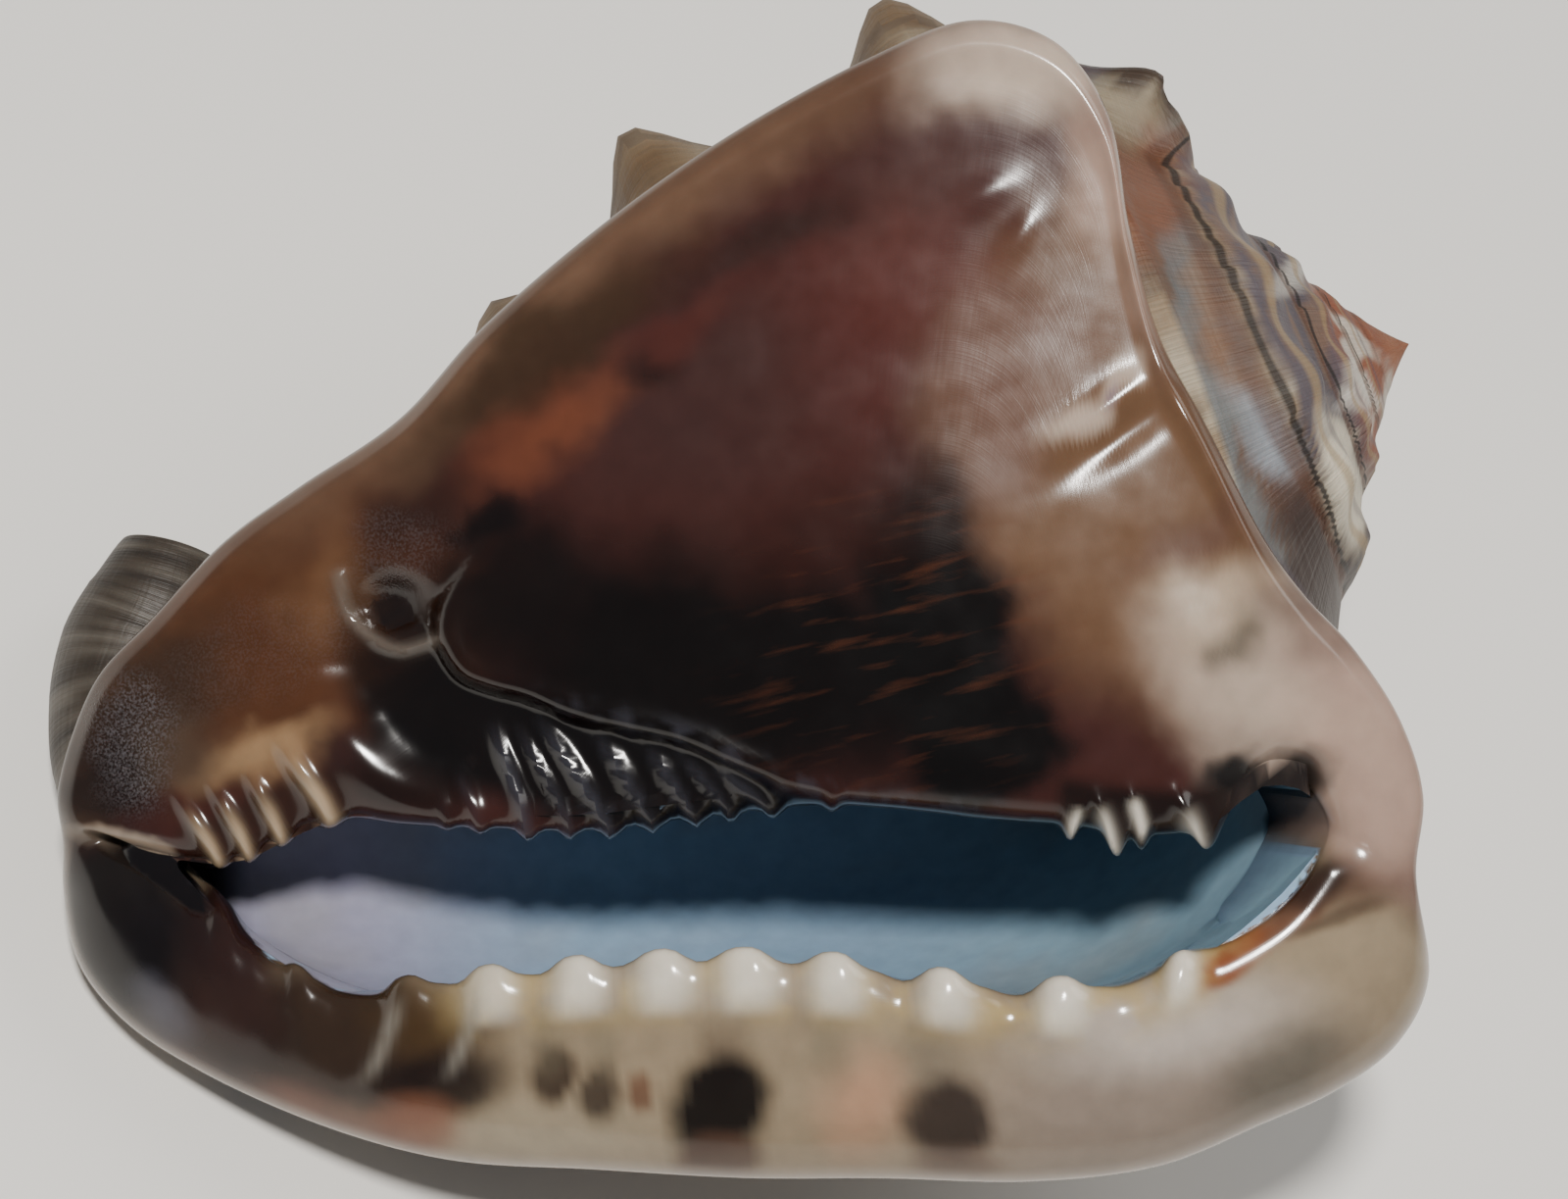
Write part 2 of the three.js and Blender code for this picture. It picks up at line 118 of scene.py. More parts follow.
# The coiled body: low spire and big last whorl, a chalky lime wall built out of growth layers
# round one axis. Knobs stand on it in three rows, and an old lip crosses the shoulder.
APEX = np.array((92.7, 37.9, -45.0))
AXIS_TILT = 19.94
WHORL_RATIO = 1.75
SUTURE_RADIUS = 36
SUTURE_PHASE = 0.25
SPIRE_SLOPE = 0.62
APEX_NIPPLE = 3.2
NIPPLE_REACH = 6
WHORL_SWELL = 0.075
WHORL_SHAPE = (1.9, 1.6, 0.45)
RAMP_SWELL = 1.6
LATE_ANGLE = 125
SHIELD_SIDE = [(40, 61), (54, 63), (75, 61), (97, 56), (121, 47.5), (150, 35.5), (178, 23), (196, 13),
               (205, 0.1)]
LIP_SIDE = [(44, 63), (58, 68), (80, 68), (104, 65), (128, 58), (154, 49), (181, 38), (200, 24),
            (209, 0.1)]
BACK_SIDE = [(42, 62), (54, 65), (75, 61), (97, 53), (121, 42), (150, 29), (178, 17), (196, 9),
             (205, 0.1)]
BACK_ANGLE = 252
LIP_TURN = (95, 150)
FLAT_ANGLE = 85
FLAT_LIFT = 4
VENTRAL_FLATTENING = 0.7
LIP_FLARE = 0.22
FLARE_ANGLES = (100, 140, 150, 205)
UNDER_FACE = 3.5
KNOB_ROWS = [
    {"height": 55.5, "first": 13, "rise": 9, "reach": 8, "angles": (-8, -46, -84, -122, -158)},
    {"height": 95, "first": 13.5, "rise": 7.5, "reach": 8, "angles": (-4, -38, -72, -106, -140)},
    {"height": 124, "first": 6, "rise": 4.5, "reach": 7, "angles": (-2, -34, -66, -98, -130)},
]
KNOB_HALF_ANGLE = 11
KNOB_RIDGE = 0.12
KNOBS_START = (10, 30)
SPIRE_KNOB = {"spacing": 30, "rise": 0.07, "place": 0.72, "half": 0.2, "start": (8, 16)}
VARIX = {"angle": 14, "half": 5, "rise": 11, "radius": (33, 44), "height": (43, 31)}
FACE = [(-112, -39), (-98, -33), (-75, -25), (-50, -16), (-25, -9), (0, -4), (25, 0), (60, 3), (92, -1)]
BODY_COLUMNS = 240
BODY_ROWS = 120
SPIRE_SHARE = 0.42
SPIRE_SPACING = 1.15
SIDE_SPACING = 0.92

axis_way = np.array((-math.cos(math.radians(AXIS_TILT)), -math.sin(math.radians(AXIS_TILT)), 0))
shield_way = np.array((-math.sin(math.radians(AXIS_TILT)), math.cos(math.radians(AXIS_TILT)), 0))


def mix(a, b, share):
    return a + (b - a) * share


def smooth(low, high, value):
    """0 at low and 1 at high with soft ends, also where low is the larger one."""
    share = np.clip((value - low) / (high - low), 0, 1)
    return share * share * (3 - 2 * share)


def within(value, rises, risen, falls, fallen):
    return smooth(rises, risen, value) * smooth(fallen, falls, value)


def bell(distance):
    return np.exp(-np.abs(distance) ** 1.7)


def turn_between(a, b):
    return (a - b + 180) % 360 - 180


def on_outline(points, share):
    """The point at a share of the way along a smooth open outline through the points."""
    p = np.array(points, float)
    last = len(p) - 1
    place = np.clip(share, 0, 1) * last
    first = np.minimum(np.floor(place).astype(int), last - 1)
    w = (place - first)[:, None]
    before, start = p[np.maximum(first - 1, 0)], p[first]
    end, after = p[first + 1], p[np.minimum(first + 2, last)]
    leaving, arriving = (end - before) / 2, (after - start) / 2
    curl = (2 * start - 2 * end + leaving + arriving) * w ** 3
    return curl + (3 * end - 3 * start - 2 * leaving - arriving) * w ** 2 + leaving * w + start


def from_axis(height, radius, angle):
    """A place by its height below the apex, its radius and its angle round the coiling axis."""
    turn = np.radians(angle)
    place = APEX + height[:, None] * axis_way + (radius * np.cos(turn))[:, None] * shield_way
    place[:, 2] += radius * np.sin(turn)
    return place


face_steps = np.linspace(0, 1, 2000)
face_line = on_outline(FACE, face_steps)


def face_height(x):
    return np.interp(x, face_line[:, 0], face_line[:, 1])


def suture_at(growth):
    return SUTURE_RADIUS * WHORL_RATIO ** (growth - SUTURE_PHASE)


def cone_height(radius):
    return SPIRE_SLOPE * radius + APEX_NIPPLE * (1 - np.exp(-radius / NIPPLE_REACH))


def profile_at(share, angle):
    """Height and radius of the whorl's wall, at a share of the way down it and at an angle."""
    shield_part = on_outline(SHIELD_SIDE, share)
    lip_part = on_outline(LIP_SIDE, share)
    back_part = on_outline(BACK_SIDE, share)
    behind = mix(lip_part, back_part, smooth(180, BACK_ANGLE, angle)[:, None])
    behind = mix(behind, shield_part, smooth(BACK_ANGLE, 360, angle)[:, None])
    below = mix(shield_part, lip_part, smooth(*LIP_TURN, angle)[:, None])
    point = np.where((angle > 180)[:, None], behind, below)
    flat = np.where(angle < 180, within(angle, 0, FLAT_ANGLE, *LIP_TURN), 0)
    flare = 1 + LIP_FLARE * within(angle, *FLARE_ANGLES)
    height = point[:, 0] - FLAT_LIFT * flat * (1 - share)
    return height, point[:, 1] * mix(1, VENTRAL_FLATTENING, flat) * flare


def ramp_height(radius, angle, growth):
    """Height of the early whorls, and of the last whorl's ramp from its seam to its shoulder."""
    suture = suture_at(growth)
    whorl = np.log(np.maximum(radius, 0.01) / suture) / math.log(WHORL_RATIO)
    place = whorl - np.floor(whorl)
    swell = WHORL_SHAPE[0] * place ** WHORL_SHAPE[1] * (1 - place) ** WHORL_SHAPE[2]
    beat = (1 + np.cos(angle / SPIRE_KNOB["spacing"] * 2 * math.pi)) / 2
    knob = SPIRE_KNOB["rise"] * bell((place - SPIRE_KNOB["place"]) / SPIRE_KNOB["half"]) * beat
    knob *= smooth(*SPIRE_KNOB["start"], radius)
    coiled = cone_height(radius) - smooth(1, 8, radius) * radius * (WHORL_SWELL * swell + knob)
    shoulder_height, shoulder_radius = profile_at(np.zeros_like(angle), angle)
    on_ramp = np.clip((radius - suture) / (shoulder_radius - suture), 0, 1)
    ramp = mix(cone_height(suture), shoulder_height, on_ramp) + RAMP_SWELL * np.sin(math.pi * on_ramp)
    return np.where(radius <= suture, coiled, ramp)


def growth_at(angle):
    """Turns grown where the last whorl stands at an angle, counted from under the shield."""
    return (540 - np.where(angle < 180, angle + 360, angle)) / 360


def spire_height(radius, angle):
    growth = growth_at(angle)
    late = np.where(angle <= 180, smooth(LATE_ANGLE, 180, angle), 0)
    return mix(ramp_height(radius, angle, growth), ramp_height(radius, angle, growth + 1), late)


def knob_rise(height, angle):
    rise = np.zeros_like(height)
    for row in KNOB_ROWS:
        along = (height - row["height"]) / row["reach"]
        for place, knob_angle in enumerate(row["angles"]):
            tall = row["first"] if place == 0 else row["rise"]
            rise += tall * bell(np.hypot(along, turn_between(angle, knob_angle) / KNOB_HALF_ANGLE))
        rise += KNOB_RIDGE * row["rise"] * bell(along) * ((angle > 180) | (angle < 10))
    return rise


def varix_rise(height, radius, angle):
    across = bell(turn_between(angle, VARIX["angle"]) / VARIX["half"])
    return VARIX["rise"] * across * smooth(*VARIX["radius"], radius) * smooth(*VARIX["height"], height)


def meridian_point(share, angle):
    _, shoulder = profile_at(np.zeros_like(angle), angle)
    radius = shoulder * np.clip(share / SPIRE_SHARE, 0, 1) ** SPIRE_SPACING
    low_share = np.clip((share - SPIRE_SHARE) / (1 - SPIRE_SHARE), 0, 1) ** SIDE_SPACING
    height, wide = profile_at(low_share, angle)
    on_spire = share < SPIRE_SHARE
    return np.where(on_spire, spire_height(radius, angle), height), np.where(on_spire, radius, wide)


def body_places(share, angle):
    """Places on the body, with knobs and varix raised square to its wall and cut by the mouth."""
    height, radius = meridian_point(share, angle)
    height_before, radius_before = meridian_point(np.maximum(0, share - 0.01), angle)
    height_after, radius_after = meridian_point(np.minimum(1, share + 0.01), angle)
    along, out = radius_before - radius_after, height_after - height_before
    length = np.maximum(np.hypot(along, out), 1e-6)
    rise = knob_rise(height, angle) * smooth(*KNOBS_START, radius) + varix_rise(height, radius, angle)
    height = height + rise * along / length
    radius = np.maximum(0, radius + rise * out / length)
    places = from_axis(height, radius, angle)
    places[:, 2] = np.minimum(places[:, 2], face_height(places[:, 0]) - UNDER_FACE)
    return places, height, radius


def vertex_places(mesh):
    places = np.empty(len(mesh.vertices) * 3)
    mesh.vertices.foreach_get("co", places)
    return places.reshape(-1, 3)


def set_places(mesh, places):
    mesh.vertices.foreach_set("co", places.astype(np.float32).ravel())
    mesh.update()


def stock_ball(name, columns, rows):
    """A ball whose rows are drawn out into a closed form. Returns it with each point's share from
    pole to pole and its angle round."""
    bm = bmesh.new()
    bmesh.ops.create_uvsphere(bm, u_segments=columns, v_segments=rows, radius=1)
    ball = laid_mesh(name, bm)
    start = vertex_places(ball.data)
    share = np.arccos(np.clip(start[:, 2], -1, 1)) / math.pi
    angle = np.degrees(np.arctan2(start[:, 1], start[:, 0])) % 360
    angle[(share < 1e-6) | (share > 1 - 1e-6)] = 0
    return ball, share, angle


body, body_share, body_angle = stock_ball("body", BODY_COLUMNS, BODY_ROWS)
body_at, body_height, body_radius = body_places(body_share, body_angle)
set_places(body.data, body_at)


# The mouth side: shield and outer lip are one broad rim of glossy callus round the slit mouth,
# laid down in thin enamel coats. Folds, plaits and teeth edge it, and it is swept from a ring.
SHIELD_STATIONS = [
    (86.5, -38, 34, 74.5, -31, 34),
    (87.5, -27, 34, 72.5, -26.5, 34),
    (84.5, -17, 30, 69, -24, 30),
    (78, -7, 22, 64, -25, 26),
    (71, 0.5, 13, 60, -30, 22),
    (65.5, 8, 7, 54, -32, 22),
    (57, 24.5, 5.5, 46, -32, 22),
    (51, 36, 5, 39, -31, 22),
    (47, 51, 5, 32, -30.5, 22),
    (44, 66.5, 5, 26, -30, 22),
    (37, 76, 5, 20, -29.3, 22),
    (26, 79.2, 5, 13, -28.7, 22),
    (11, 74, 5, 5, -28.5, 22),
    (-15, 59.5, 5, -9, -30, 22),
    (-41.5, 39, 5, -28, -32.5, 20),
    (-54.5, 25.5, 5, -42, -32.3, 18),
    (-69.5, 16, 5, -54, -32, 16),
    (-80.5, 8.5, 5, -63, -31.3, 14),
    (-92, -3, 5, -71, -34, 12),
    (-100, -11, 5, -78, -37.2, 9),
    (-104.5, -20.5, 5, -85, -38, 7),
    (-106.5, -28, 5.5, -93, -36.5, 6),
]
LIP_STATIONS = [
    (-106.5, -35.5, 14, -97, -34, 20),
    (-107, -43.5, 16, -94, -35, 22),
    (-104.5, -54, 17, -89, -38, 22),
    (-97.5, -62, 18, -82, -45, 20),
    (-85.5, -69, 19, -74, -51.5, 18),
    (-67, -76, 19, -62, -56, 18),
    (-48, -80, 19, -47, -54.7, 18),
    (-26, -80.5, 19, -29.5, -52.8, 18),
    (-5, -81, 19, -7, -51.5, 18),
    (14, -80.5, 19, 10, -51.8, 18),
    (34.5, -80.5, 19, 28, -54, 18),
    (52, -78, 19, 43, -53.6, 18),
    (65.5, -72.5, 20, 53, -49.8, 20),
    (76, -68, 22, 61.5, -46, 24),
    (85, -61.5, 26, 68, -41.5, 30),
    (89.5, -52, 32, 72.3, -36, 34),
]
SHIELD_RIM = (4, 2.6)
LIP_RIM = (14, 10)
COLUMELLA_EDGE = (9, 6)
LIP_EDGE = (4.5, 3)
CANAL_FLOOR = (13, 13)
RING_SECTIONS = 600
FRONT_POINTS = 84
BACK_POINTS = 12
EDGE_CROWDING = 0.45
BACK_SQUARENESS = 0.4
LIP_ENDS = (0.03, 0.975)
CANAL_SPAN = (0.02, 0.01, 0.05, 4.5)
BACK_CURVES = (1.6, 1)

stations = np.array(SHIELD_STATIONS + LIP_STATIONS, float)
LIP_START = len(SHIELD_STATIONS) / len(stations)


def closed_curve(points):
    """A smooth closed curve through the points, with less sway where they are close together."""
    before, after, later = np.roll(points, 1, 0), np.roll(points, -1, 0), np.roll(points, -2, 0)
    d0 = np.sqrt(np.linalg.norm(points - before, axis=1))[:, None]
    d1 = np.sqrt(np.linalg.norm(after - points, axis=1))[:, None]
    d2 = np.sqrt(np.linalg.norm(later - after, axis=1))[:, None]
    leaving = ((points - before) / d0 - (after - before) / (d0 + d1) + (after - points) / d1) * d1
    arriving = ((after - points) / d1 - (later - points) / (d1 + d2) + (later - after) / d2) * d1

    def at(share):
        place = (share % 1) * len(points)
        i = np.minimum(np.floor(place).astype(int), len(points) - 1)
        w = (place - i)[:, None]
        start, end, go, come = points[i], after[i], leaving[i], arriving[i]
        return start + go * w + (3 * end - 3 * start - 2 * go - come) * w ** 2 \
            + (2 * start - 2 * end + go + come) * w ** 3
    return at


rim_at = closed_curve(stations[:, :3])
edge_at = closed_curve(stations[:, 3:])


def quarter_round(share):
    return 1 - np.sqrt(np.maximum(0, 1 - np.maximum(0, 1 - share) ** 2))


def lip_share(loop):
    """1 along the outer lip and 0 along the shield."""
    soft, fall = LIP_ENDS
    return within(loop, LIP_START - soft, LIP_START + soft, fall, 1)


def canal_share(loop):
    """1 where the mouth runs out into the canal."""
    before, after, falls, last = CANAL_SPAN
    return within(loop - LIP_START, -before, after, falls, last / len(stations))


def mouth_places(loop, inward, front, under):
    """Places on the rim of callus: front is its face, and under runs round its back."""
    rim, edge = rim_at(loop), edge_at(loop)
    width = np.hypot(rim[:, 0] - edge[:, 0], rim[:, 1] - edge[:, 1])
    lip, floor_share = lip_share(loop), canal_share(loop)
    x, y = mix(edge[:, 0], rim[:, 0], inward), mix(edge[:, 1], rim[:, 1], inward)
    from_edge = inward * width
    rim_width, rim_drop = (mix(a, b, lip) for a, b in zip(SHIELD_RIM, LIP_RIM))
    edge_width, edge_drop = (mix(mix(a, b, lip), c, floor_share)
                             for a, b, c in zip(COLUMELLA_EDGE, LIP_EDGE, CANAL_FLOOR))
    level = face_height(x)
    z_front = level - rim_drop * quarter_round((width - from_edge) / rim_width) \
        - edge_drop * quarter_round(from_edge / edge_width)
    depth = mix(rim[:, 2], edge[:, 2], (1 - inward) ** mix(*BACK_CURVES, lip))
    z_back = level - mix(mix(edge_drop, rim_drop, inward), depth, under)
    return np.stack((x, y, np.where(front, z_front, z_back)), 1), from_edge, width


def stock_ring(name, sections, points):
    """A ring of round section. Returns it with each point's share of the loop and of the section."""
    bm = bmesh.new()
    bmesh.ops.create_circle(bm, segments=points, radius=1)
    bmesh.ops.rotate(bm, verts=bm.verts, matrix=Matrix.Rotation(math.pi / 2, 3, "X"))
    bmesh.ops.translate(bm, verts=bm.verts, vec=(2, 0, 0))
    bmesh.ops.spin(bm, geom=bm.verts[:] + bm.edges[:], axis=(0, 0, 1), cent=(0, 0, 0),
                   angle=2 * math.pi, steps=sections, use_merge=True)
    bmesh.ops.recalc_face_normals(bm, faces=bm.faces)
    ring = laid_mesh(name, bm)
    start = vertex_places(ring.data)
    loop = np.arctan2(start[:, 1], start[:, 0]) / (2 * math.pi) % 1
    around = np.arctan2(start[:, 2], np.hypot(start[:, 0], start[:, 1]) - 2) / (2 * math.pi) % 1
    return ring, loop, around


mouth, mouth_loop, mouth_around = stock_ring("mouth", RING_SECTIONS, FRONT_POINTS + BACK_POINTS)
step = np.round(mouth_around * (FRONT_POINTS + BACK_POINTS)) % (FRONT_POINTS + BACK_POINTS)
on_front = step <= FRONT_POINTS
front_share = step / FRONT_POINTS
back_share = (step - FRONT_POINTS) / BACK_POINTS
front_inward = 1 - mix(front_share, (1 - np.cos(math.pi * front_share)) / 2, EDGE_CROWDING)
back_inward = (1 - np.cos(math.pi * back_share)) / 2
mouth_inward = np.where(on_front, front_inward, back_inward)
mouth_under = np.abs(np.sin(math.pi * np.clip(back_share, 0, 1))) ** BACK_SQUARENESS
mouth_at, mouth_from_edge, mouth_width = mouth_places(mouth_loop, mouth_inward, on_front, mouth_under)
# Relief of the callus, in millimetres as it lines up from the front. The last coat ends in a
# step that runs from the navel pit down to the mouth, and under it stand the plaits. A fold is
# its start, tip, rise and half width. A swell is its middle, half length, half width, tilt and rise.
COAT_END = [(-37, 14), (-41.5, 6), (-46.8, -2.3), (-44.5, -9.2), (-40, -11.5), (-35, -12.8),
            (-28.7, -15.5), (-21.3, -17.3), (-14, -18.9), (-5.7, -22.5), (2.4, -26), (13, -28.2),
            (28, -29.5)]
COAT_STEP = [0, 1.0, 2.6, 3.6, 3.8, 3.6, 3.4, 3.2, 3.0, 2.6, 2.0, 1.3, 0.4]
COAT_FALL = (-0.3, 2.0, 11, 20)
COAT_LIP = {"rise": 0.55, "off": 1.1, "half": 1.1, "step": (0.2, 2)}
PIT = {"at": (-54.0, -0.8), "half": (5.2, 3.8), "depth": 3.4}
PIT_RIM = [(-60.6, 3.2), (-59.6, -1.5), (-56.6, -5.0), (-52.6, -6.9), (-47.6, -5.6)]
PIT_RIM_RISE = 0.9
PIT_RIM_HALF = 0.8
LINE_POINTS = 40
PLAITS = [
    ((-46.7, -27.0), (-45.8, -31.0), 0.5, 0.9),
    ((-44.6, -23.5), (-41.3, -30.6), 0.8, 1.0),
    ((-39.8, -17.5), (-34.8, -31.4), 1.5, 1.15),
    ((-36.4, -17.6), (-29.2, -30.8), 1.1, 0.95),
    ((-33.2, -16.8), (-23.6, -31.4), 1.5, 1.15),
    ((-25.6, -18.4), (-17.9, -30.6), 1.3, 1.1),
    ((-18.6, -20.2), (-11.9, -30.2), 1.3, 1.1),
    ((-14.2, -21.2), (-7.2, -29.0), 1.1, 1.0),
    ((-9.4, -22.8), (-1.4, -29.2), 1.2, 1.1),
    ((-1.0, -26.2), (6.5, -28.6), 0.8, 1.0),
]
FRONT_FOLDS = [
    ((-82.5, -26.5), (-76.3, -36.0), 1.3, 1.15),
    ((-77.6, -25.2), (-72.2, -35.0), 1.4, 1.15),
    ((-72.6, -23.6), (-67.7, -33.0), 1.5, 1.2),
    ((-68.6, -19.0), (-61.4, -29.4), 1.9, 1.5),
]
FOLD_START = (-0.25, 0.35)
SWELLS = [
    (4, 8, 48, 26, 0, 2.2),
    (-59, -19, 6.5, 5.5, 0, 1.5),
    (-76, -21, 9, 5, 0, 0.9),
    (-66, -9, 16, 5, 0, -1.0),
    (44, 26, 8, 2.2, 36, 0.9),
    (46, 22.5, 9, 2.4, 36, -0.8),
    (66, -25, 9, 5, 0, -4.0),
    (76, -42.5, 10, 1.8, 18, -1.1),
    (60, -8, 14, 10, 0, 1.2),
    (27, 55, 5, 2.2, 25, 0.5),
    (32, 49.5, 4.2, 1.8, 55, 0.4),
]
RIM_BEAD = {"from_rim": 3.6, "half": 2.4, "rise": 0.8, "loop": (0.05, 0.1, 0.5, 0.6)}
TOOTH_FOLDS = [
    ((40.6, -27.2), (38.9, -30.8), 0.8, 0.9),
    ((42.2, -26.6), (45.2, -33.0), 1.5, 1.2),
    ((46.9, -26.0), (48.6, -30.0), 0.9, 0.9),
    ((53.6, -26.6), (57.8, -34.6), 1.9, 1.6),
]
FOLD_TIPS = [(PLAITS, 1.7), (FRONT_FOLDS, 1.2), (TOOTH_FOLDS, 3.6)]
TIP = {"tallest": 1.3, "full": 1.5, "width": 1.25, "power": 2.4}
LIP_TEETH = [(-76.3, 0.7), (-66.0, 0.55), (-51.5, 0.85), (-40.4, 1.0), (-28.6, 1.1), (-17.0, 1.2),
             (-5.6, 1.2), (6.4, 1.1), (21.3, 1.05), (37.0, 1.0), (53.3, 0.6)]
LIP_TOOTH = {"reach": 3.0, "rise": 2.0, "half": 3.1, "length": 6.5, "twin": 4.6,
             "twin_reach": 0.35, "twin_rise": 0.5, "power": 2.6}
LIP_RIDGE = {"rise": 0.7, "half": 1.9, "lean": -0.42, "span": (1, 5, 9, 19)}
EDGE_REACH = 5
RELIEF_FROM_RIM = 3
THROAT = {"reach": 6, "inward": (0.35, 0.05), "x": (60, 68)}


def seen_from_front(places):
    """Where places line up on the plane of the mouth, looked at from the eye."""
    return places[:, :2] * (EYE_DISTANCE / (EYE_DISTANCE - places[:, 2]))[:, None]


def from_segment(at, start, end):
    """Distance from a straight stretch, with its sign by side, and the share along it."""
    start, end = np.array(start, float), np.array(end, float)
    way = end - start
    share = np.clip((at - start) @ way / (way @ way), 0, 1)
    off = at - (start + share[:, None] * way)
    side = np.sign(way[0] * (at[:, 1] - start[1]) - way[1] * (at[:, 0] - start[0]))
    return np.hypot(off[:, 0], off[:, 1]) * side, share


def from_drawn_line(at, line):
    """Signed distance from a smooth curve through the points, and the share along it."""
    curve = on_outline([(x, y, 0) for x, y in line], np.linspace(0, 1, LINE_POINTS))[:, :2]
    nearest, place = np.full(len(at), 1e6), np.zeros(len(at))
    for first in range(LINE_POINTS - 1):
        distance, share = from_segment(at, curve[first], curve[first + 1])
        closer = np.abs(distance) < np.abs(nearest)
        nearest[closer], place[closer] = distance[closer], first + share[closer]
    return nearest, place / (LINE_POINTS - 1)


def hill(distance):
    return np.exp(-distance * distance)


def fold_rise(at, folds):
    rise = np.zeros(len(at))
    for start, tip, tall, half in folds:
        distance, share = from_segment(at, start, tip)
        rise += tall * hill(distance / half) * smooth(*FOLD_START, share)
    return rise


def turned(at, middle, tilt):
    """Places measured from a middle, along and across a tilt in degrees."""
    turn = math.radians(tilt)
    off = at - np.array(middle)
    along = off[:, 0] * math.cos(turn) + off[:, 1] * math.sin(turn)
    return along, off[:, 1] * math.cos(turn) - off[:, 0] * math.sin(turn)


mouth_seen = seen_from_front(mouth_at)
seen_x = mouth_seen[:, 0]
mouth_lip = lip_share(mouth_loop)
from_rim = mouth_width - mouth_from_edge
coat_off, coat_share = from_drawn_line(mouth_seen, COAT_END)
coat_place = coat_share * (len(COAT_END) - 1)
below_coat = -coat_off
coat_step = np.interp(coat_place, range(len(COAT_STEP)), COAT_STEP)
relief = -coat_step * within(below_coat, *COAT_FALL)
coat_lip = hill((below_coat + COAT_LIP["off"]) / COAT_LIP["half"])
relief += COAT_LIP["rise"] * smooth(*COAT_LIP["step"], coat_step) * coat_lip
pit_off = (mouth_seen - np.array(PIT["at"])) / np.array(PIT["half"])
relief -= PIT["depth"] * np.exp(-(pit_off ** 2).sum(1) ** 1.5)
pit_rim_off, _ = from_drawn_line(mouth_seen, PIT_RIM)
relief += PIT_RIM_RISE * hill(pit_rim_off / PIT_RIM_HALF)
for folds, _ in FOLD_TIPS:
    relief += fold_rise(mouth_seen, folds)
for x, y, long, wide, tilt, tall in SWELLS:
    along, across = turned(mouth_seen, (x, y), tilt)
    relief += tall * hill(np.hypot(along / long, across / wide))
bead = RIM_BEAD["rise"] * hill((from_rim - RIM_BEAD["from_rim"]) / RIM_BEAD["half"])
relief += bead * within(mouth_loop, *RIM_BEAD["loop"])
relief *= (1 - mouth_lip) * smooth(0, RELIEF_FROM_RIM, from_rim)
reach = np.zeros(len(mouth_at))
for folds, tip_reach in FOLD_TIPS:
    for start, tip, tall, half in folds:
        across = np.abs(seen_x - tip[0]) / (half * TIP["width"])
        size = min(TIP["tallest"], tall) / TIP["full"]
        reach -= tip_reach * size * np.exp(-across ** TIP["power"]) * (1 - mouth_lip)
lip_relief = np.zeros(len(mouth_at))
for tip, size in LIP_TEETH:
    half = LIP_TOOTH["half"] * size
    tooth = np.exp(-np.abs((seen_x - tip) / half) ** LIP_TOOTH["power"])
    twin = np.exp(-np.abs((seen_x - tip - LIP_TOOTH["twin"] * size) / half) ** LIP_TOOTH["power"])
    reach += LIP_TOOTH["reach"] * size * (tooth + LIP_TOOTH["twin_reach"] * twin) * mouth_lip
    fall = hill(mouth_from_edge / LIP_TOOTH["length"])
    lip_relief += LIP_TOOTH["rise"] * size * (tooth + LIP_TOOTH["twin_rise"] * twin) * fall
    lean = seen_x - tip - LIP_RIDGE["lean"] * mouth_from_edge
    ridge = hill(lean / LIP_RIDGE["half"]) * within(mouth_from_edge, *LIP_RIDGE["span"])
    lip_relief += LIP_RIDGE["rise"] * size * ridge
relief += lip_relief * mouth_lip
mouth_at[:, 2] += relief * on_front
mouth_at[:, 1] += reach * np.where(on_front, 1, 1 - mouth_under) * smooth(EDGE_REACH, 0, mouth_from_edge)
throat = ~on_front * smooth(*THROAT["inward"], mouth_inward) * smooth(*THROAT["x"], mouth_at[:, 0])
mouth_at[:, 0] -= THROAT["reach"] * throat
set_places(mouth.data, mouth_at)


# The front canal: a short spout of the same wall, which turns back behind the shield. Water
# went in and out by it, so a bore runs through it.
CANAL_ROUTE = [(-58, -33, -42), (-76, -34, -46), (-90, -32, -50), (-98, -26, -56), (-100, -16, -61),
               (-99, -8, -64), (-96.5, -1, -66), (-94.5, 7, -68.5)]
CANAL_RADII = (10, 12, 12, 12, 12, 12, 11, 8)
BORE_ROUTE = [(-56, -34, -42), (-74, -34, -45), (-88, -32, -50), (-96, -26, -56), (-98, -16, -61),
              (-96.5, -4, -66), (-92, 13, -73)]
BORE_RADII = (9, 8, 7, 7, 7, 7, 6)
CANAL_CAP = 0.15
BORE_CAP = 0.06


def spout(name, route, radii, columns, rows, cap):
    """A ball drawn out along a route, with ends rounded over a short cap."""
    ball, share, angle = stock_ball(name, columns, rows)
    along = np.clip((share - cap) / (1 - 2 * cap), 0, 1)
    past_end = (np.maximum(cap - share, share - 1 + cap) / cap).clip(0)
    closing = np.sqrt(np.clip(1 - past_end ** 2, 0, 1))
    ahead = on_outline(route, np.minimum(1, along + 0.01))
    way = ahead - on_outline(route, np.maximum(0, along - 0.01))
    way /= np.linalg.norm(way, axis=1)[:, None]
    side = np.cross(way, (0, 0, 1))
    side /= np.linalg.norm(side, axis=1)[:, None]
    up = np.cross(side, way)
    radius = (np.interp(along, np.linspace(0, 1, len(radii)), radii) * closing)[:, None]
    turn = np.radians(angle)[:, None]
    set_places(ball.data, on_outline(route, along) + radius * (side * np.cos(turn) + up * np.sin(turn)))
    return ball, along, angle


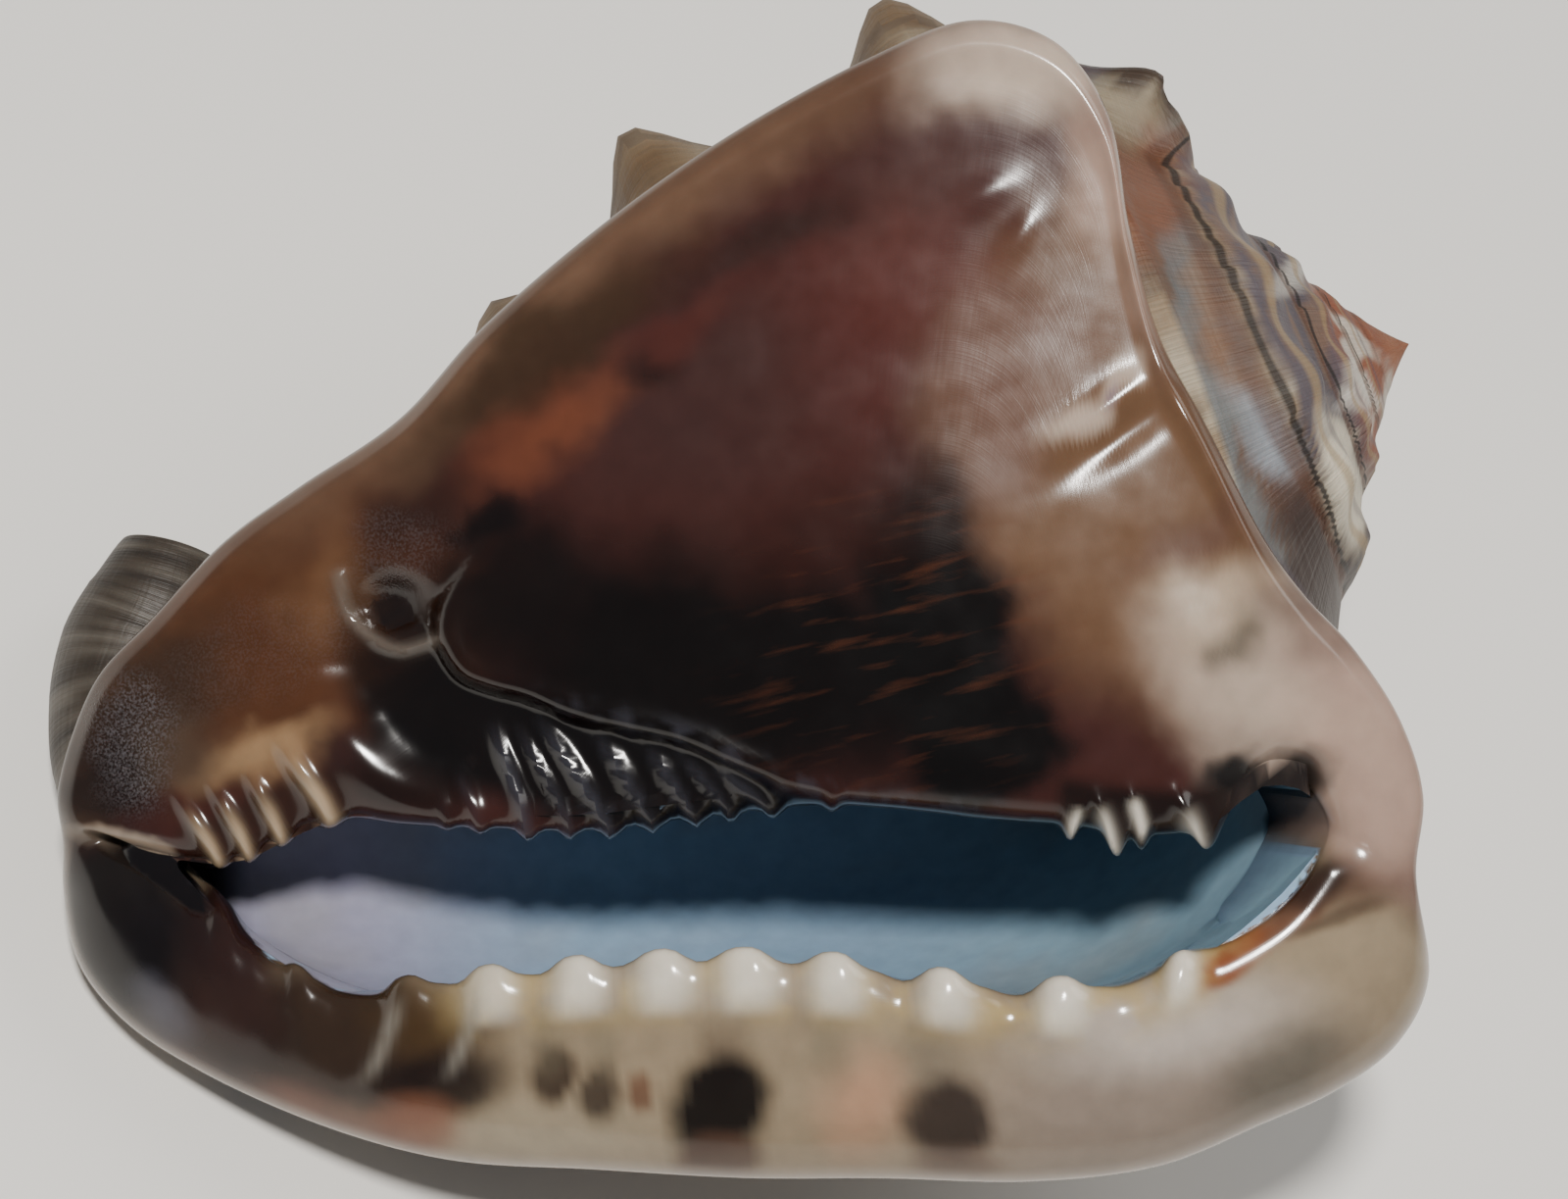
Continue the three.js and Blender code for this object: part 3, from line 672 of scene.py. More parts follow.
canal, canal_along, canal_angle = spout("canal", CANAL_ROUTE, CANAL_RADII, 48, 72, CANAL_CAP)
bore, _, _ = spout("bore", BORE_ROUTE, BORE_RADII, 36, 60, BORE_CAP)


# The hollow: the room the animal lived in. It opens at the mouth, goes round inside the last
# whorl and ends under the shield, coated with smooth bluish white enamel.
WALL = 5
WALL_DROP = 3
HOLLOW_START = 120
HOLLOW_TURN = 310
HOLLOW_MIDDLE = 0.43
HOLLOW_SPAN = 0.41
HOLLOW_RIGHT = 78
HOLLOW_LEFT = -88
INNER_SHARE = 0.22
EDGE_COVER = 2.5
MOUTH_CAP = 0.04
MOUTH_STRETCH = 0.12
ABOVE_MOUTH = 12
BELOW_MOUTH = 16
TURNS_IN = (0.06, 0.3)
END_STRETCH = 0.2
LONG_POWER = 0.75
CROSS_POWER = 0.7

loop_steps = np.linspace(0, 1, 4001)[:-1]
edge_steps = edge_at(loop_steps)
on_lip_side = loop_steps >= LIP_START
lip_line, columella_line = (side[np.argsort(side[:, 0])]
                            for side in (edge_steps[on_lip_side], edge_steps[~on_lip_side]))

hollow, hollow_share, hollow_angle = stock_ball("hollow", 88, 84)
turn = np.radians(hollow_angle)
along = np.clip((hollow_share - MOUTH_CAP) / (1 - MOUTH_CAP), 0, 1)
reach = np.clip(hollow_share / MOUTH_CAP, 0, 1)
to_front = (1 + reach * np.sign(np.cos(turn)) * np.abs(np.cos(turn)) ** LONG_POWER) / 2
mouth_x = mix(HOLLOW_RIGHT, HOLLOW_LEFT, to_front)
soft_sine = np.sign(np.sin(turn)) * np.abs(np.sin(turn)) ** CROSS_POWER
lip_y = np.interp(mouth_x, lip_line[:, 0], lip_line[:, 1])
columella_y = np.interp(mouth_x, columella_line[:, 0], columella_line[:, 1])
mouth_y = mix(columella_y + EDGE_COVER, lip_y - EDGE_COVER, 0.5 + 0.5 * reach * soft_sine)
mouth_z = face_height(mouth_x) + mix(ABOVE_MOUTH, -BELOW_MOUTH, np.clip(along / MOUTH_STRETCH, 0, 1))
at_mouth = np.stack((mouth_x, mouth_y, mouth_z), 1)
whorl_angle = (HOLLOW_START + HOLLOW_TURN * along) % 360
closing = np.sqrt(np.clip((1 - along) / END_STRETCH, 0, 1)) * reach
wall_height, wall_radius = profile_at(HOLLOW_MIDDLE + HOLLOW_SPAN * closing * np.cos(turn), whorl_angle)
half = (1 - WALL / np.maximum(wall_radius, 8) - INNER_SHARE) / 2
inner_radius = wall_radius * (INNER_SHARE + half + half * closing * soft_sine)
in_whorl = from_axis(wall_height + WALL_DROP, inner_radius, whorl_angle)
in_whorl[:, 2] = np.minimum(in_whorl[:, 2], face_height(in_whorl[:, 0]) - UNDER_FACE - WALL)
set_places(hollow.data, mix(at_mouth, in_whorl, smooth(*TURNS_IN, along)[:, None]))


# Colours of the callus face, laid on in soft clouds as the enamel was. Some marks and layers are
# painted highlights, painted sheen and painted shade. A mark is its middle, half length and half
# width in millimetres seen from the front, tilt in degrees, colour, strength and softness.
# A layer is where it lies, what it follows, where that sets in, colour and strength.
PIGMENT_STRENGTH = 0.72
PIGMENT_DEPTH = 1.5
PIGMENT_GAIN = 0.85
CLOUD_PUSH = (3.2, 0.9)
SOFT_OUTSIDE = 0.7
CREAM = (214, 194, 176)
PINK_CREAM = (206, 176, 158)
TAN = (148, 114, 82)
PINK_TAN = (142, 104, 86)
GOLD_BROWN = (126, 84, 48)
ORANGE_BROWN = (172, 106, 62)
OLIVE_BROWN = (98, 74, 50)
MAROON = (106, 62, 54)
RED_BROWN = (126, 62, 50)
MAUVE = (102, 72, 68)
NEAR_BLACK = (34, 21, 16)
PURPLE_BLACK = (46, 36, 42)
BLUE_BLACK = (34, 40, 46)
BLUE_GREY_SHEEN = (104, 104, 116)
# This blue-grey is painted sheen on the dark glossy plaits and edges.
IVORY = (234, 227, 212)
YELLOW = (208, 184, 118)
RIM_TAN = (146, 114, 88)
LIP_BASE = (180, 162, 134)
INSIDE_FRONT = (186, 184, 208)
INSIDE_MIDDLE = (168, 200, 226)
INSIDE_BACK = (168, 204, 222)
RIDGE_GREY = (176, 170, 158)
LIP_RIM_PALE = (216, 200, 184)
BACK_BUFF = (196, 176, 148)

SHIELD_MARKS = [
    (33, 73, 17, 9, 0, CREAM, 0.95, 0.7),
    (47, 50, 18, 6.5, -74, PINK_CREAM, 0.9, 0.7),
    (44, 16, 34, 21, -62, TAN, 0.97, 0.45),
    (35, 39, 12, 11, -40, PINK_TAN, 0.7, 0.8),
    (67, -15, 21, 12, -45, CREAM, 0.8, 0.7),
    (81, -22, 14, 20, 0, PINK_CREAM, 0.8, 0.6),
    (40, 48, 8, 10, 0, TAN, 0.6, 0.8),
    (29, 25, 7, 13, 0, PINK_TAN, 0.75, 0.7),
    (21, 56, 15, 8, 20, (116, 82, 76), 0.85, 0.8),
    (11, 37, 18, 13, 30, RED_BROWN, 0.75, 0.8),
    (19, 47, 11, 9, 0, (134, 84, 74), 0.6, 0.8),
    (-11, 28, 20, 13, 25, MAUVE, 0.7, 0.8),
    (-33, 33, 25, 5, 39, OLIVE_BROWN, 0.85, 0.6),
    (-2, 48, 14, 3.4, 24, (82, 56, 48), 0.7, 0.8),
    (-31.5, 23.5, 13.5, 4.2, 36, ORANGE_BROWN, 0.52, 0.95),
    (-14, 37, 10, 3, 30, (122, 66, 54), 0.7, 0.8),
    (-18.7, 32, 4, 2.8, 20, (64, 44, 42), 0.75, 0.8),
    (-70, -6, 28, 17, 25, GOLD_BROWN, 0.95, 0.6),
    (-50, -10, 10, 12, 0, (100, 62, 38), 0.85, 0.7),
    (-8, -10, 40, 17, -6, NEAR_BLACK, 0.98, 0.5),
    (-36, 2, 14, 10, 30, (46, 30, 26), 0.92, 0.6),
    (20, -3, 10, 19, 8, NEAR_BLACK, 0.98, 0.35),
    (27, -20, 11, 10, 20, NEAR_BLACK, 0.98, 0.3),
    (5, 8, 20, 6, 10, (84, 44, 30), 0.6, 0.9),
    (-41, 10, 6, 3, 35, (38, 26, 28), 0.9, 0.6),
    (-49, 12, 8, 5, 35, (78, 54, 46), 0.7, 0.8),
    (-87, -14, 13, 9, 30, (92, 72, 56), 0.85, 0.7),
    (-94, -25, 10, 8, 30, (62, 48, 46), 0.9, 0.6),
    (-51, -23, 10, 7, 0, (60, 38, 30), 0.9, 0.6),
    (-71, -21, 9, 3.6, 20, (198, 164, 120), 0.75, 0.8),
    (-82, -21, 7, 5, 0, (122, 104, 86), 0.6, 0.8),
    (-60, -22, 4.4, 4, 0, (90, 60, 58), 0.7, 0.8),
    (-63, 2, 5, 8, -20, (156, 118, 80), 0.6, 0.8),
    (-54, -0.8, 5.6, 4.4, 0, (66, 50, 47), 0.85, 0.6),
    # Painted shade: blue-black in the sunken edge at the back end of the mouth.
    (65.5, -24.5, 9, 3.8, 8, BLUE_BLACK, 0.95, 0.5),
    (62.7, -4.5, 3.8, 3.8, 0, (116, 108, 90), 0.75, 0.8),
    (55, 9, 10, 3.2, 35, (134, 98, 80), 0.7, 0.8),
    (57, 1, 7, 5, 0, (206, 184, 156), 0.7, 0.8),
    # These three marks are a painted highlight along the crease on the shield's right, white with a bluish
    # middle.
    (40, 24.6, 5.5, 2.4, 22, CREAM, 0.85, 0.6),
    (47, 30.2, 5, 1.9, 36, CREAM, 0.8, 0.6),
    (45, 27.6, 2.2, 1.1, 30, (142, 112, 140), 0.6, 0.8),
    (-87, -34.4, 11, 1.8, -12, (198, 178, 156), 0.9, 0.5),
]
LIP_MARKS = [
    (50, -68, 30, 12, 10, (170, 154, 142), 0.85, 0.7),
    (53, -58, 17, 6, 10, (214, 203, 192), 0.7, 0.8),
    (-32, -72, 16, 5, 0, (190, 176, 150), 0.7, 0.8),
    (11, -68, 6.5, 7, 0, (208, 164, 130), 0.75, 0.8),
    (-61, -60, 22, 10, -10, (86, 62, 46), 0.97, 0.4),
    (-48, -58, 9, 5, 0, (116, 90, 52), 0.8, 0.7),
    (-48, -66.5, 10, 4.6, 10, (66, 46, 40), 0.85, 0.5),
    (-51, -72, 7, 4.4, 0, (170, 116, 82), 0.85, 0.6),
    (-67, -69, 18, 3.4, -20, (152, 102, 80), 0.8, 0.7),
    (-79, -61, 11, 11, 0, (68, 45, 42), 0.9, 0.6),
    (-82, -66, 14, 4, -32, (134, 78, 68), 0.75, 0.7),
    (-80, -50, 14, 10, -45, (92, 64, 56), 0.97, 0.45),
    (-76, -46, 8, 6, -50, (84, 56, 52), 0.95, 0.5),
    (-93, -44, 14, 17, 0, PURPLE_BLACK, 0.98, 0.4),
    (-85, -56, 3, 5.5, 40, (150, 150, 166), 0.35, 0.9),
    (-31.3, -64.5, 3.2, 4.2, 0, (84, 60, 46), 0.9, 0.5),
    (-25, -66.8, 2.8, 4.2, 0, (84, 64, 52), 0.85, 0.5),
    (-19.6, -66.3, 1.8, 2.8, 0, (140, 92, 62), 0.75, 0.6),
    (-32, -60, 2.6, 5, 0, (152, 140, 116), 0.5, 0.8),
    (-25, -60, 2.6, 5, 0, (156, 144, 120), 0.5, 0.8),
    (-8.6, -63, 3.6, 5, 0, (126, 108, 90), 0.75, 0.8),
    (-8.4, -69, 7.4, 7.4, 0, (50, 35, 30), 0.98, 0.35),
    (-8.6, -76.5, 6.6, 4, 0, (120, 90, 70), 0.9, 0.4),
    (6, -61, 3, 5, 0, (158, 146, 122), 0.6, 0.8),
    (20.5, -63, 4.6, 7, 0, (152, 140, 122), 0.65, 0.8),
    (22.4, -71, 6, 6.6, -8, (88, 73, 65), 0.93, 0.4),
    (23.6, -77.5, 6.4, 3, 0, (140, 116, 98), 0.8, 0.6),
    (68, -63.5, 11, 5.4, 30, (134, 127, 114), 0.8, 0.7),
    (62, -48.4, 7.4, 2.8, 30, (170, 102, 42), 0.95, 0.5),
    (70, -42, 6, 3.4, 50, (142, 96, 68), 0.85, 0.6),
    # These two marks darken the crease at the back end of the mouth with painted shade over its brown.
    (78, -38.5, 8, 4.6, 20, (124, 92, 74), 0.85, 0.7),
    (73, -38, 6, 3.2, 40, (74, 50, 40), 0.85, 0.7),
    (76, -43.5, 9, 1.1, 20, (104, 80, 62), 0.6, 0.8),
]
STREAKS = {"at": (16, -6), "half": (23, 21), "tilt": 14, "soft": 0.6, "above_coat": (-4, 0),
           "colour": (140, 84, 44), "strength": 0.6, "edges": (0.54, 0.8)}
WRINKLED = [(-89, -20, 6, 9, 0, 0.9), (-72, -7, 18, 6, 30, 0.2), (-53, 6, 8, 5, 30, 0.35)]
WRINKLE_SOFT = 0.6
# The wrinkle tops get a pale painted sheen.
WRINKLE_SHEEN = (150, 145, 150)
WRINKLE_SHEEN_STRENGTH = 0.5
WRINKLE_SHEEN_SPAN = (0.4, 0.7)
RIM_BAND = {"loop": (0.27, 0.34, 0.55, 0.6), "from_rim": (15, 3), "cloud": 3, "strength": 0.95}
UNDER_COAT = (0, 1.5, 12, 17)
PLAIT_FULL = 1.4
COAT_LIGHT = {"off": 0.6, "half": 1.6, "along": (4.5, 7)}
EDGE_LIGHT = {"along": (-62, -52, 36, 42), "reach": (4, 1)}
PIT_LIGHT_HALF = 0.9
THROUGHOUT = (0, 1)
SHIELD_LAYERS = [
    ("under the coat", "place along coat", (1.2, 3), (38, 27, 27), 0.96),
    # Painted sheen: blue-grey on the plait tops, along the coat's step and along the mouth edge.
    ("painted sheen on plait tops", "itself", THROUGHOUT, BLUE_GREY_SHEEN, 0.55),
    ("painted sheen on coat edge", "small clouds", (-0.2, 0.4), BLUE_GREY_SHEEN, 0.45),
    ("painted sheen on mouth edge", "from edge", (1.6, 0), BLUE_GREY_SHEEN, 0.35),
    # Painted highlight: a pale line along the pit's rounded rim.
    ("painted highlight on pit rim", "itself", THROUGHOUT, (150, 138, 126), 0.7),
]
FOLD_PAINTS = [
    {"folds": FRONT_FOLDS, "along": (-84, -80, -60, -57), "reach": (9, 6), "groove": (88, 60, 46),
     "depth": 0.75, "top": (214, 190, 156), "strength": 0.95, "width": 0.75, "start": (0.1, 0.8)},
    {"folds": TOOTH_FOLDS, "along": (36, 39, 60, 64), "reach": (8, 5), "groove": (52, 38, 32),
     "depth": 0.85, "top": IVORY, "strength": 0.97, "width": 0.95, "start": (0.15, 0.6)},
]
MARK_WARP = 0.4
YELLOWED = {"along": (-50, -40, 56, 66), "reach": (9, 2), "clouds": (-0.5, 0.3), "strength": 0.6}
TOOTH_WHITE = {"off": 0.8, "width": 1.1, "reach": (6.5, 2.5), "along": (-50, -36), "strength": 0.9}
RIDGE_LIGHT = {"half": 1.1, "reach": (1, 4, 9, 14), "along": (-60, -50, -40, -30), "strength": 0.6}
LIP_RIM_STRENGTH = 0.4
BACK_BARS = {"at": (-78, -42, -9, 24, 62), "half": 6.5, "power": 6}
DULL_BACK = 0.45
BACK_LAYERS = [
    ("all over", "broad clouds", (-0.1, 0.5), (132, 98, 68), 0.6),
    ("bars", "itself", THROUGHOUT, (70, 50, 40), 0.8),
]
INNER_LAYERS = [
    ("lip", "itself", THROUGHOUT, INSIDE_MIDDLE, 1),
    # Painted shade on the underside of the callus on the columella side.
    ("columella", "itself", THROUGHOUT, (70, 60, 66), 1),
    ("inner back", "x", (-74, -84), PURPLE_BLACK, 1),
]


def tint(red, green, blue):
    """A painter's 0 to 255 colour as the light it sends back, mixed a little stronger."""
    value = np.array((red, green, blue)) / 255
    value = np.where(value <= 0.04045, value / 12.92, ((value + 0.055) / 1.055) ** 2.4)
    grey = value.mean()
    return PIGMENT_GAIN * np.clip(grey + (value - grey) * PIGMENT_STRENGTH, 0.001, 1) ** PIGMENT_DEPTH


def even(ink, places):
    return np.tile(tint(*ink), (len(places), 1))


def cloud(places, size, seed, octaves=3):
    """Soft random clouds of a size, the same on every run."""
    shift = Vector((seed * 17.3, seed * 5.1, seed * 9.7))
    scaled = places / size
    return np.array([noise.fractal(Vector(at) + shift, 1.0, 2.0, octaves) for at in scaled])


def clouded(at, seed, broad=12, fine=4):
    """Places moved a little by clouds, so that marks get ragged natural edges."""
    flat = np.stack((at[:, 0], at[:, 1], np.zeros(len(at))), 1)
    x = CLOUD_PUSH[0] * cloud(flat, broad, seed) + CLOUD_PUSH[1] * cloud(flat, fine, seed + 1)
    y = CLOUD_PUSH[0] * cloud(flat, broad, seed + 2) + CLOUD_PUSH[1] * cloud(flat, fine, seed + 3)
    return at + np.stack((x, y), 1)


def spread(at, middle, long, wide, tilt, soft):
    """How much of each place a soft oval patch covers."""
    along, across = turned(at, middle, tilt)
    return 1 - smooth(1 - soft, 1 + soft * SOFT_OUTSIDE, np.hypot(along / long, across / wide))


def laid_over(colour, ink, share):
    """A colour under a share of another, which is a painter's ink or colours already mixed."""
    other = tint(*ink) if isinstance(ink, tuple) else ink
    return mix(colour, other, np.clip(share, 0, 1)[..., None])


def marked(colour, at, marks):
    for x, y, long, wide, tilt, ink, strength, soft in marks:
        colour = laid_over(colour, ink, strength * spread(at, (x, y), long, wide, tilt, soft))
    return colour


def layered(colour, layers, lies, follows):
    """Colours laid one over another, each where it lies and as far as its measure sets it in."""
    for place, measure, span, ink, strength in layers:
        colour = laid_over(colour, ink, strength * lies[place] * smooth(*span, follows[measure]))
    return colour


warped = clouded(mouth_seen, 1)
rim_band = within(mouth_loop, *RIM_BAND["loop"])
rim_band *= smooth(*RIM_BAND["from_rim"], from_rim + RIM_BAND["cloud"] * cloud(mouth_at, 9, 21))
shield_colour = laid_over(even(MAROON, mouth_at), RIM_TAN, RIM_BAND["strength"] * rim_band)
shield_colour = marked(shield_colour, warped, SHIELD_MARKS)
on_shield_face = (1 - mouth_lip) * on_front
mouth_lie = np.stack((*turned(mouth_seen, (0, 0), STREAKS["tilt"]), np.zeros(len(mouth_at))), 1)
mouth_streaks = spread(warped, STREAKS["at"], *STREAKS["half"], STREAKS["tilt"], STREAKS["soft"])
mouth_streaks *= on_shield_face * smooth(*STREAKS["above_coat"], coat_off)
mouth_wrinkle = np.zeros(len(mouth_at))
for x, y, long, wide, tilt, strength in WRINKLED:
    patch = strength * spread(warped, (x, y), long, wide, tilt, WRINKLE_SOFT)
    mouth_wrinkle = np.maximum(mouth_wrinkle, patch * on_shield_face)

shield_lies = {
    "under the coat": within(below_coat, *UNDER_COAT),
    "painted sheen on plait tops": np.clip(fold_rise(mouth_seen, PLAITS) / PLAIT_FULL, 0, 1) ** 2,
    "painted sheen on coat edge": hill((below_coat + COAT_LIGHT["off"]) / COAT_LIGHT["half"])
    * smooth(*COAT_LIGHT["along"], coat_place),
    "painted sheen on mouth edge": within(seen_x, *EDGE_LIGHT["along"]) * smooth(*EDGE_LIGHT["reach"], mouth_from_edge),
    "painted highlight on pit rim": hill(pit_rim_off / PIT_LIGHT_HALF),
}
shield_follows = {"itself": 1, "place along coat": coat_place, "from edge": mouth_from_edge,
                  "small clouds": cloud(mouth_at, 2.5, 41)}
shield_colour = layered(shield_colour, SHIELD_LAYERS, shield_lies, shield_follows)
for paint in FOLD_PAINTS:
    grooves = smooth(*paint["reach"], mouth_from_edge) * within(seen_x, *paint["along"])
    shield_colour = laid_over(shield_colour, paint["groove"], paint["depth"] * grooves)
    for start, tip, _, half in paint["folds"]:
        off, share = from_segment(mouth_seen, start, tip)
        top = hill(off / (paint["width"] * half)) * smooth(*paint["start"], share)
        shield_colour = laid_over(shield_colour, paint["top"], paint["strength"] * top)

lip_colour = marked(even(LIP_BASE, mouth_at), mix(mouth_seen, warped, MARK_WARP), LIP_MARKS)
yellowed = within(seen_x, *YELLOWED["along"]) * smooth(*YELLOWED["reach"], mouth_from_edge)
yellowed *= smooth(*YELLOWED["clouds"], cloud(mouth_at, 6, 51))
lip_colour = laid_over(lip_colour, YELLOW, YELLOWED["strength"] * yellowed)
for tip, size in LIP_TEETH:
    across = (seen_x - tip - TOOTH_WHITE["off"]) / (LIP_TOOTH["half"] * size * TOOTH_WHITE["width"])
    white = np.exp(-np.abs(across) ** LIP_TOOTH["power"]) * smooth(*TOOTH_WHITE["reach"], mouth_from_edge)
    white *= TOOTH_WHITE["strength"] * smooth(*TOOTH_WHITE["along"], tip)
    lean = seen_x - tip - LIP_RIDGE["lean"] * mouth_from_edge
    ridge = hill(lean / RIDGE_LIGHT["half"]) * within(mouth_from_edge, *RIDGE_LIGHT["reach"])
    ridge *= RIDGE_LIGHT["strength"] * within(tip, *RIDGE_LIGHT["along"])
    lip_colour = laid_over(laid_over(lip_colour, IVORY, white), RIDGE_GREY, ridge)
lip_colour = laid_over(lip_colour, LIP_RIM_PALE, LIP_RIM_STRENGTH * smooth(3, 0.5, from_rim))

bars = sum(np.exp(-((mouth_at[:, 0] - at) / BACK_BARS["half"]) ** BACK_BARS["power"])
           for at in BACK_BARS["at"])
back_colour = layered(even(BACK_BUFF, mouth_at), BACK_LAYERS, {"all over": 1, "bars": bars * mouth_lip},
                      {"itself": 1, "broad clouds": cloud(mouth_at, 16, 61)})
inner_back = ~on_front * smooth(0.5, 0.15, mouth_inward)
inner_lies = {"lip": inner_back * mouth_lip, "columella": inner_back * (1 - mouth_lip),
              "inner back": inner_back}
mouth_colour = laid_over(shield_colour, lip_colour, mouth_lip)
mouth_colour = laid_over(mouth_colour, back_colour, ~on_front * smooth(0.15, 0.5, mouth_under))
mouth_colour = layered(mouth_colour, INNER_LAYERS, inner_lies, {"itself": 1, "x": mouth_at[:, 0]})
mouth_glaze = np.where(on_front, 1, 1 - DULL_BACK * mouth_under * (1 - inner_back))


# Colours of the coiled outside: chalky buff and brown clouds that follow the growth, lilac
# and orange on the spire, and bluish white enamel in the hollow, with painted shade deeper in.
CHALK_TAN = (170, 148, 116)
CANAL_BROWN = (104, 92, 78)
BORE_BROWN = (120, 100, 98)
SPIRE_MARKS = [
    (48.7, 56, 7, 11, -10, (158, 104, 62), 0.9, 0.6),
    (48, 67, 8, 5, 0, (168, 152, 122), 0.9, 0.6),
    (49, 71.8, 10, 1.9, 0, (96, 72, 50), 0.9, 0.6),
    (53, 68, 2.4, 4.4, 0, (92, 70, 66), 0.85, 0.6),
    (60.5, 33, 9, 3, -58, (160, 116, 68), 0.8, 0.8),
    (57, 42, 6, 2, -62, (164, 126, 84), 0.6, 0.8),
    (70.5, 12, 11, 3.6, -56, (128, 86, 58), 0.8, 0.8),
    (66, 22, 7, 3, -56, (172, 178, 186), 0.75, 0.8),
    (74, 3, 9, 12, 0, (88, 58, 42), 0.97, 0.5),
    (76.9, 16, 10, 2.6, -76, (230, 220, 198), 0.97, 0.4),
    (70, 44, 2.4, 3, -60, (208, 202, 192), 0.85, 0.6),
    (78.2, 28, 1.8, 3.2, 0, (230, 224, 212), 0.9, 0.6),
]
RAMP_SEAM = (1.0, 1.04)
EARLY_SEAM = (1.0, 0.97)
YOUNG_RADIUS = (21, 15)
KNOBS_FROM = 45
KNOB_FULL = 8
COIL_RADIUS = (5, 9)
GLAZE_RADIUS = (20, 34)
GROWTH_STREAK = (60, 5, 60)
SPIRAL_STREAK = 3.2
SPIRAL_TURN = 1.6
BODY_LAYERS = [
    ("all over", "brown clouds", (-0.15, 0.45), (104, 76, 52), 0.75),
    ("all over", "pale clouds", (0.05, 0.5), (204, 192, 168), 0.7),
    ("between rows", "growth", (-0.4, 0.3), (104, 80, 62), 0.45),
    ("knob tops", "itself", THROUGHOUT, (146, 118, 78), 0.8),
    ("spire", "seam", RAMP_SEAM, (134, 138, 140), 0.9),
    ("ramp", "brown spirals", (0.0, 0.4), (142, 104, 62), 0.7),
    ("spire", "seam", EARLY_SEAM, (120, 110, 120), 0.95),
    ("early whorls", "spirals", (0.05, 0.4), (170, 134, 92), 0.5),
    ("spire", "radius", YOUNG_RADIUS, (184, 112, 62), 0.9),
    ("young whorls", "white clouds", (0.0, 0.5), (226, 218, 204), 0.8),
    ("spire", "radius", (6, 3), (196, 134, 88), 0.8),
]
ROW_BAND = {"below": 16, "half": 6, "radius": 30}
FRONT_ANGLES = (250, 290, 310, 330)
FRONT_HEIGHTS = (80, 66)
BODY_GLAZE = 0.12
SPIRE_GLAZE = 0.25
BY_EDGE = (6, 3)
INSIDE_RIM = (3, 6)
CLOSE_UNDER = (10, 7)
DEEP_UNDER = (30, 20)
THROAT_SHADE_INK = (60, 44, 42)
THROAT_SHADE_MIX = 0.6
FRONT_END_X = (-74, -84)
CANAL_LAYERS = [
    ("all over", "dark rings", (-0.1, 0.4), (70, 58, 50), 0.7),
    ("all over", "pale rings", (0.1, 0.45), (142, 134, 122), 0.6),
]
INSIDE_LAYERS = [
    ("all over", "x", (-25, -70), INSIDE_FRONT, 1),
    ("all over", "x", (5, 50), INSIDE_BACK, 1),
    ("all over", "clouds", (0, 0.5), (190, 186, 178), 0.35),
    # Painted shade: the hollow darkens deeper in.
    ("all over", "depth", (0.35, 0.9), (112, 90, 84), 0.7),
    ("all over", "x", (-79, -86), PURPLE_BLACK, 1),
]

body_seen = seen_from_front(body_at)
body_cloud = cloud(body_at, 14, 71)
growth_streak = cloud(np.stack((body_height, body_angle, body_radius), 1) / GROWTH_STREAK, 1, 73, 4)
round_turn = np.radians(body_angle)
round_way = SPIRAL_TURN * np.stack((np.cos(round_turn), np.sin(round_turn)))
spiral_streak = cloud(np.stack((body_radius / SPIRAL_STREAK, *round_way), 1), 1, 77, 4)
body_suture = suture_at(growth_at(body_angle))
from_seam = body_radius / body_suture
on_spire = body_share < SPIRE_SHARE
bands = sum(hill((body_height - row["height"] - ROW_BAND["below"]) / ROW_BAND["half"]) for row in KNOB_ROWS)
body_lies = {
    "all over": 1,
    "between rows": bands * (body_radius > ROW_BAND["radius"]),
    "knob tops": np.clip(knob_rise(body_height, body_angle) / KNOB_FULL, 0, 1) * (body_radius > KNOBS_FROM),
    "spire": on_spire,
    "ramp": on_spire * smooth(*RAMP_SEAM, from_seam),
    "early whorls": on_spire * smooth(*EARLY_SEAM, from_seam),
    "young whorls": on_spire * smooth(*YOUNG_RADIUS, body_radius),
}
body_follows = {
    "itself": 1,
    "brown clouds": body_cloud + 0.5 * growth_streak,
    "pale clouds": 0.4 * growth_streak - body_cloud,
    "growth": growth_streak,
    "seam": from_seam,
    "spirals": spiral_streak,
    "brown spirals": spiral_streak + 0.5 * body_cloud,
    "radius": body_radius,
    "white clouds": cloud(body_at, 7, 75),
}
body_colour = layered(even(CHALK_TAN, body_at), BODY_LAYERS, body_lies, body_follows)
coil = 2 * math.pi * np.log(np.maximum(body_radius, 0.5) / body_suture) / math.log(WHORL_RATIO)
body_coil = np.stack((np.cos(coil), np.sin(coil), on_spire * smooth(*COIL_RADIUS, body_radius)), 1)
falls, fallen, rises, risen = FRONT_ANGLES
front_side = np.maximum(smooth(fallen, falls, body_angle), smooth(rises, risen, body_angle))
spire_painted = marked(body_colour, clouded(body_seen, 5, 8, 3), SPIRE_MARKS)
body_colour = laid_over(body_colour, spire_painted, front_side * smooth(*FRONT_HEIGHTS, body_height))
body_glaze = BODY_GLAZE + SPIRE_GLAZE * on_spire * smooth(*GLAZE_RADIUS, body_radius)


def nearest_to(places):
    """A finder of the nearest of some places."""
    tree = kdtree.KDTree(len(places))
    for index, place in enumerate(places):
        tree.insert(place, index)
    tree.balance()
    return tree


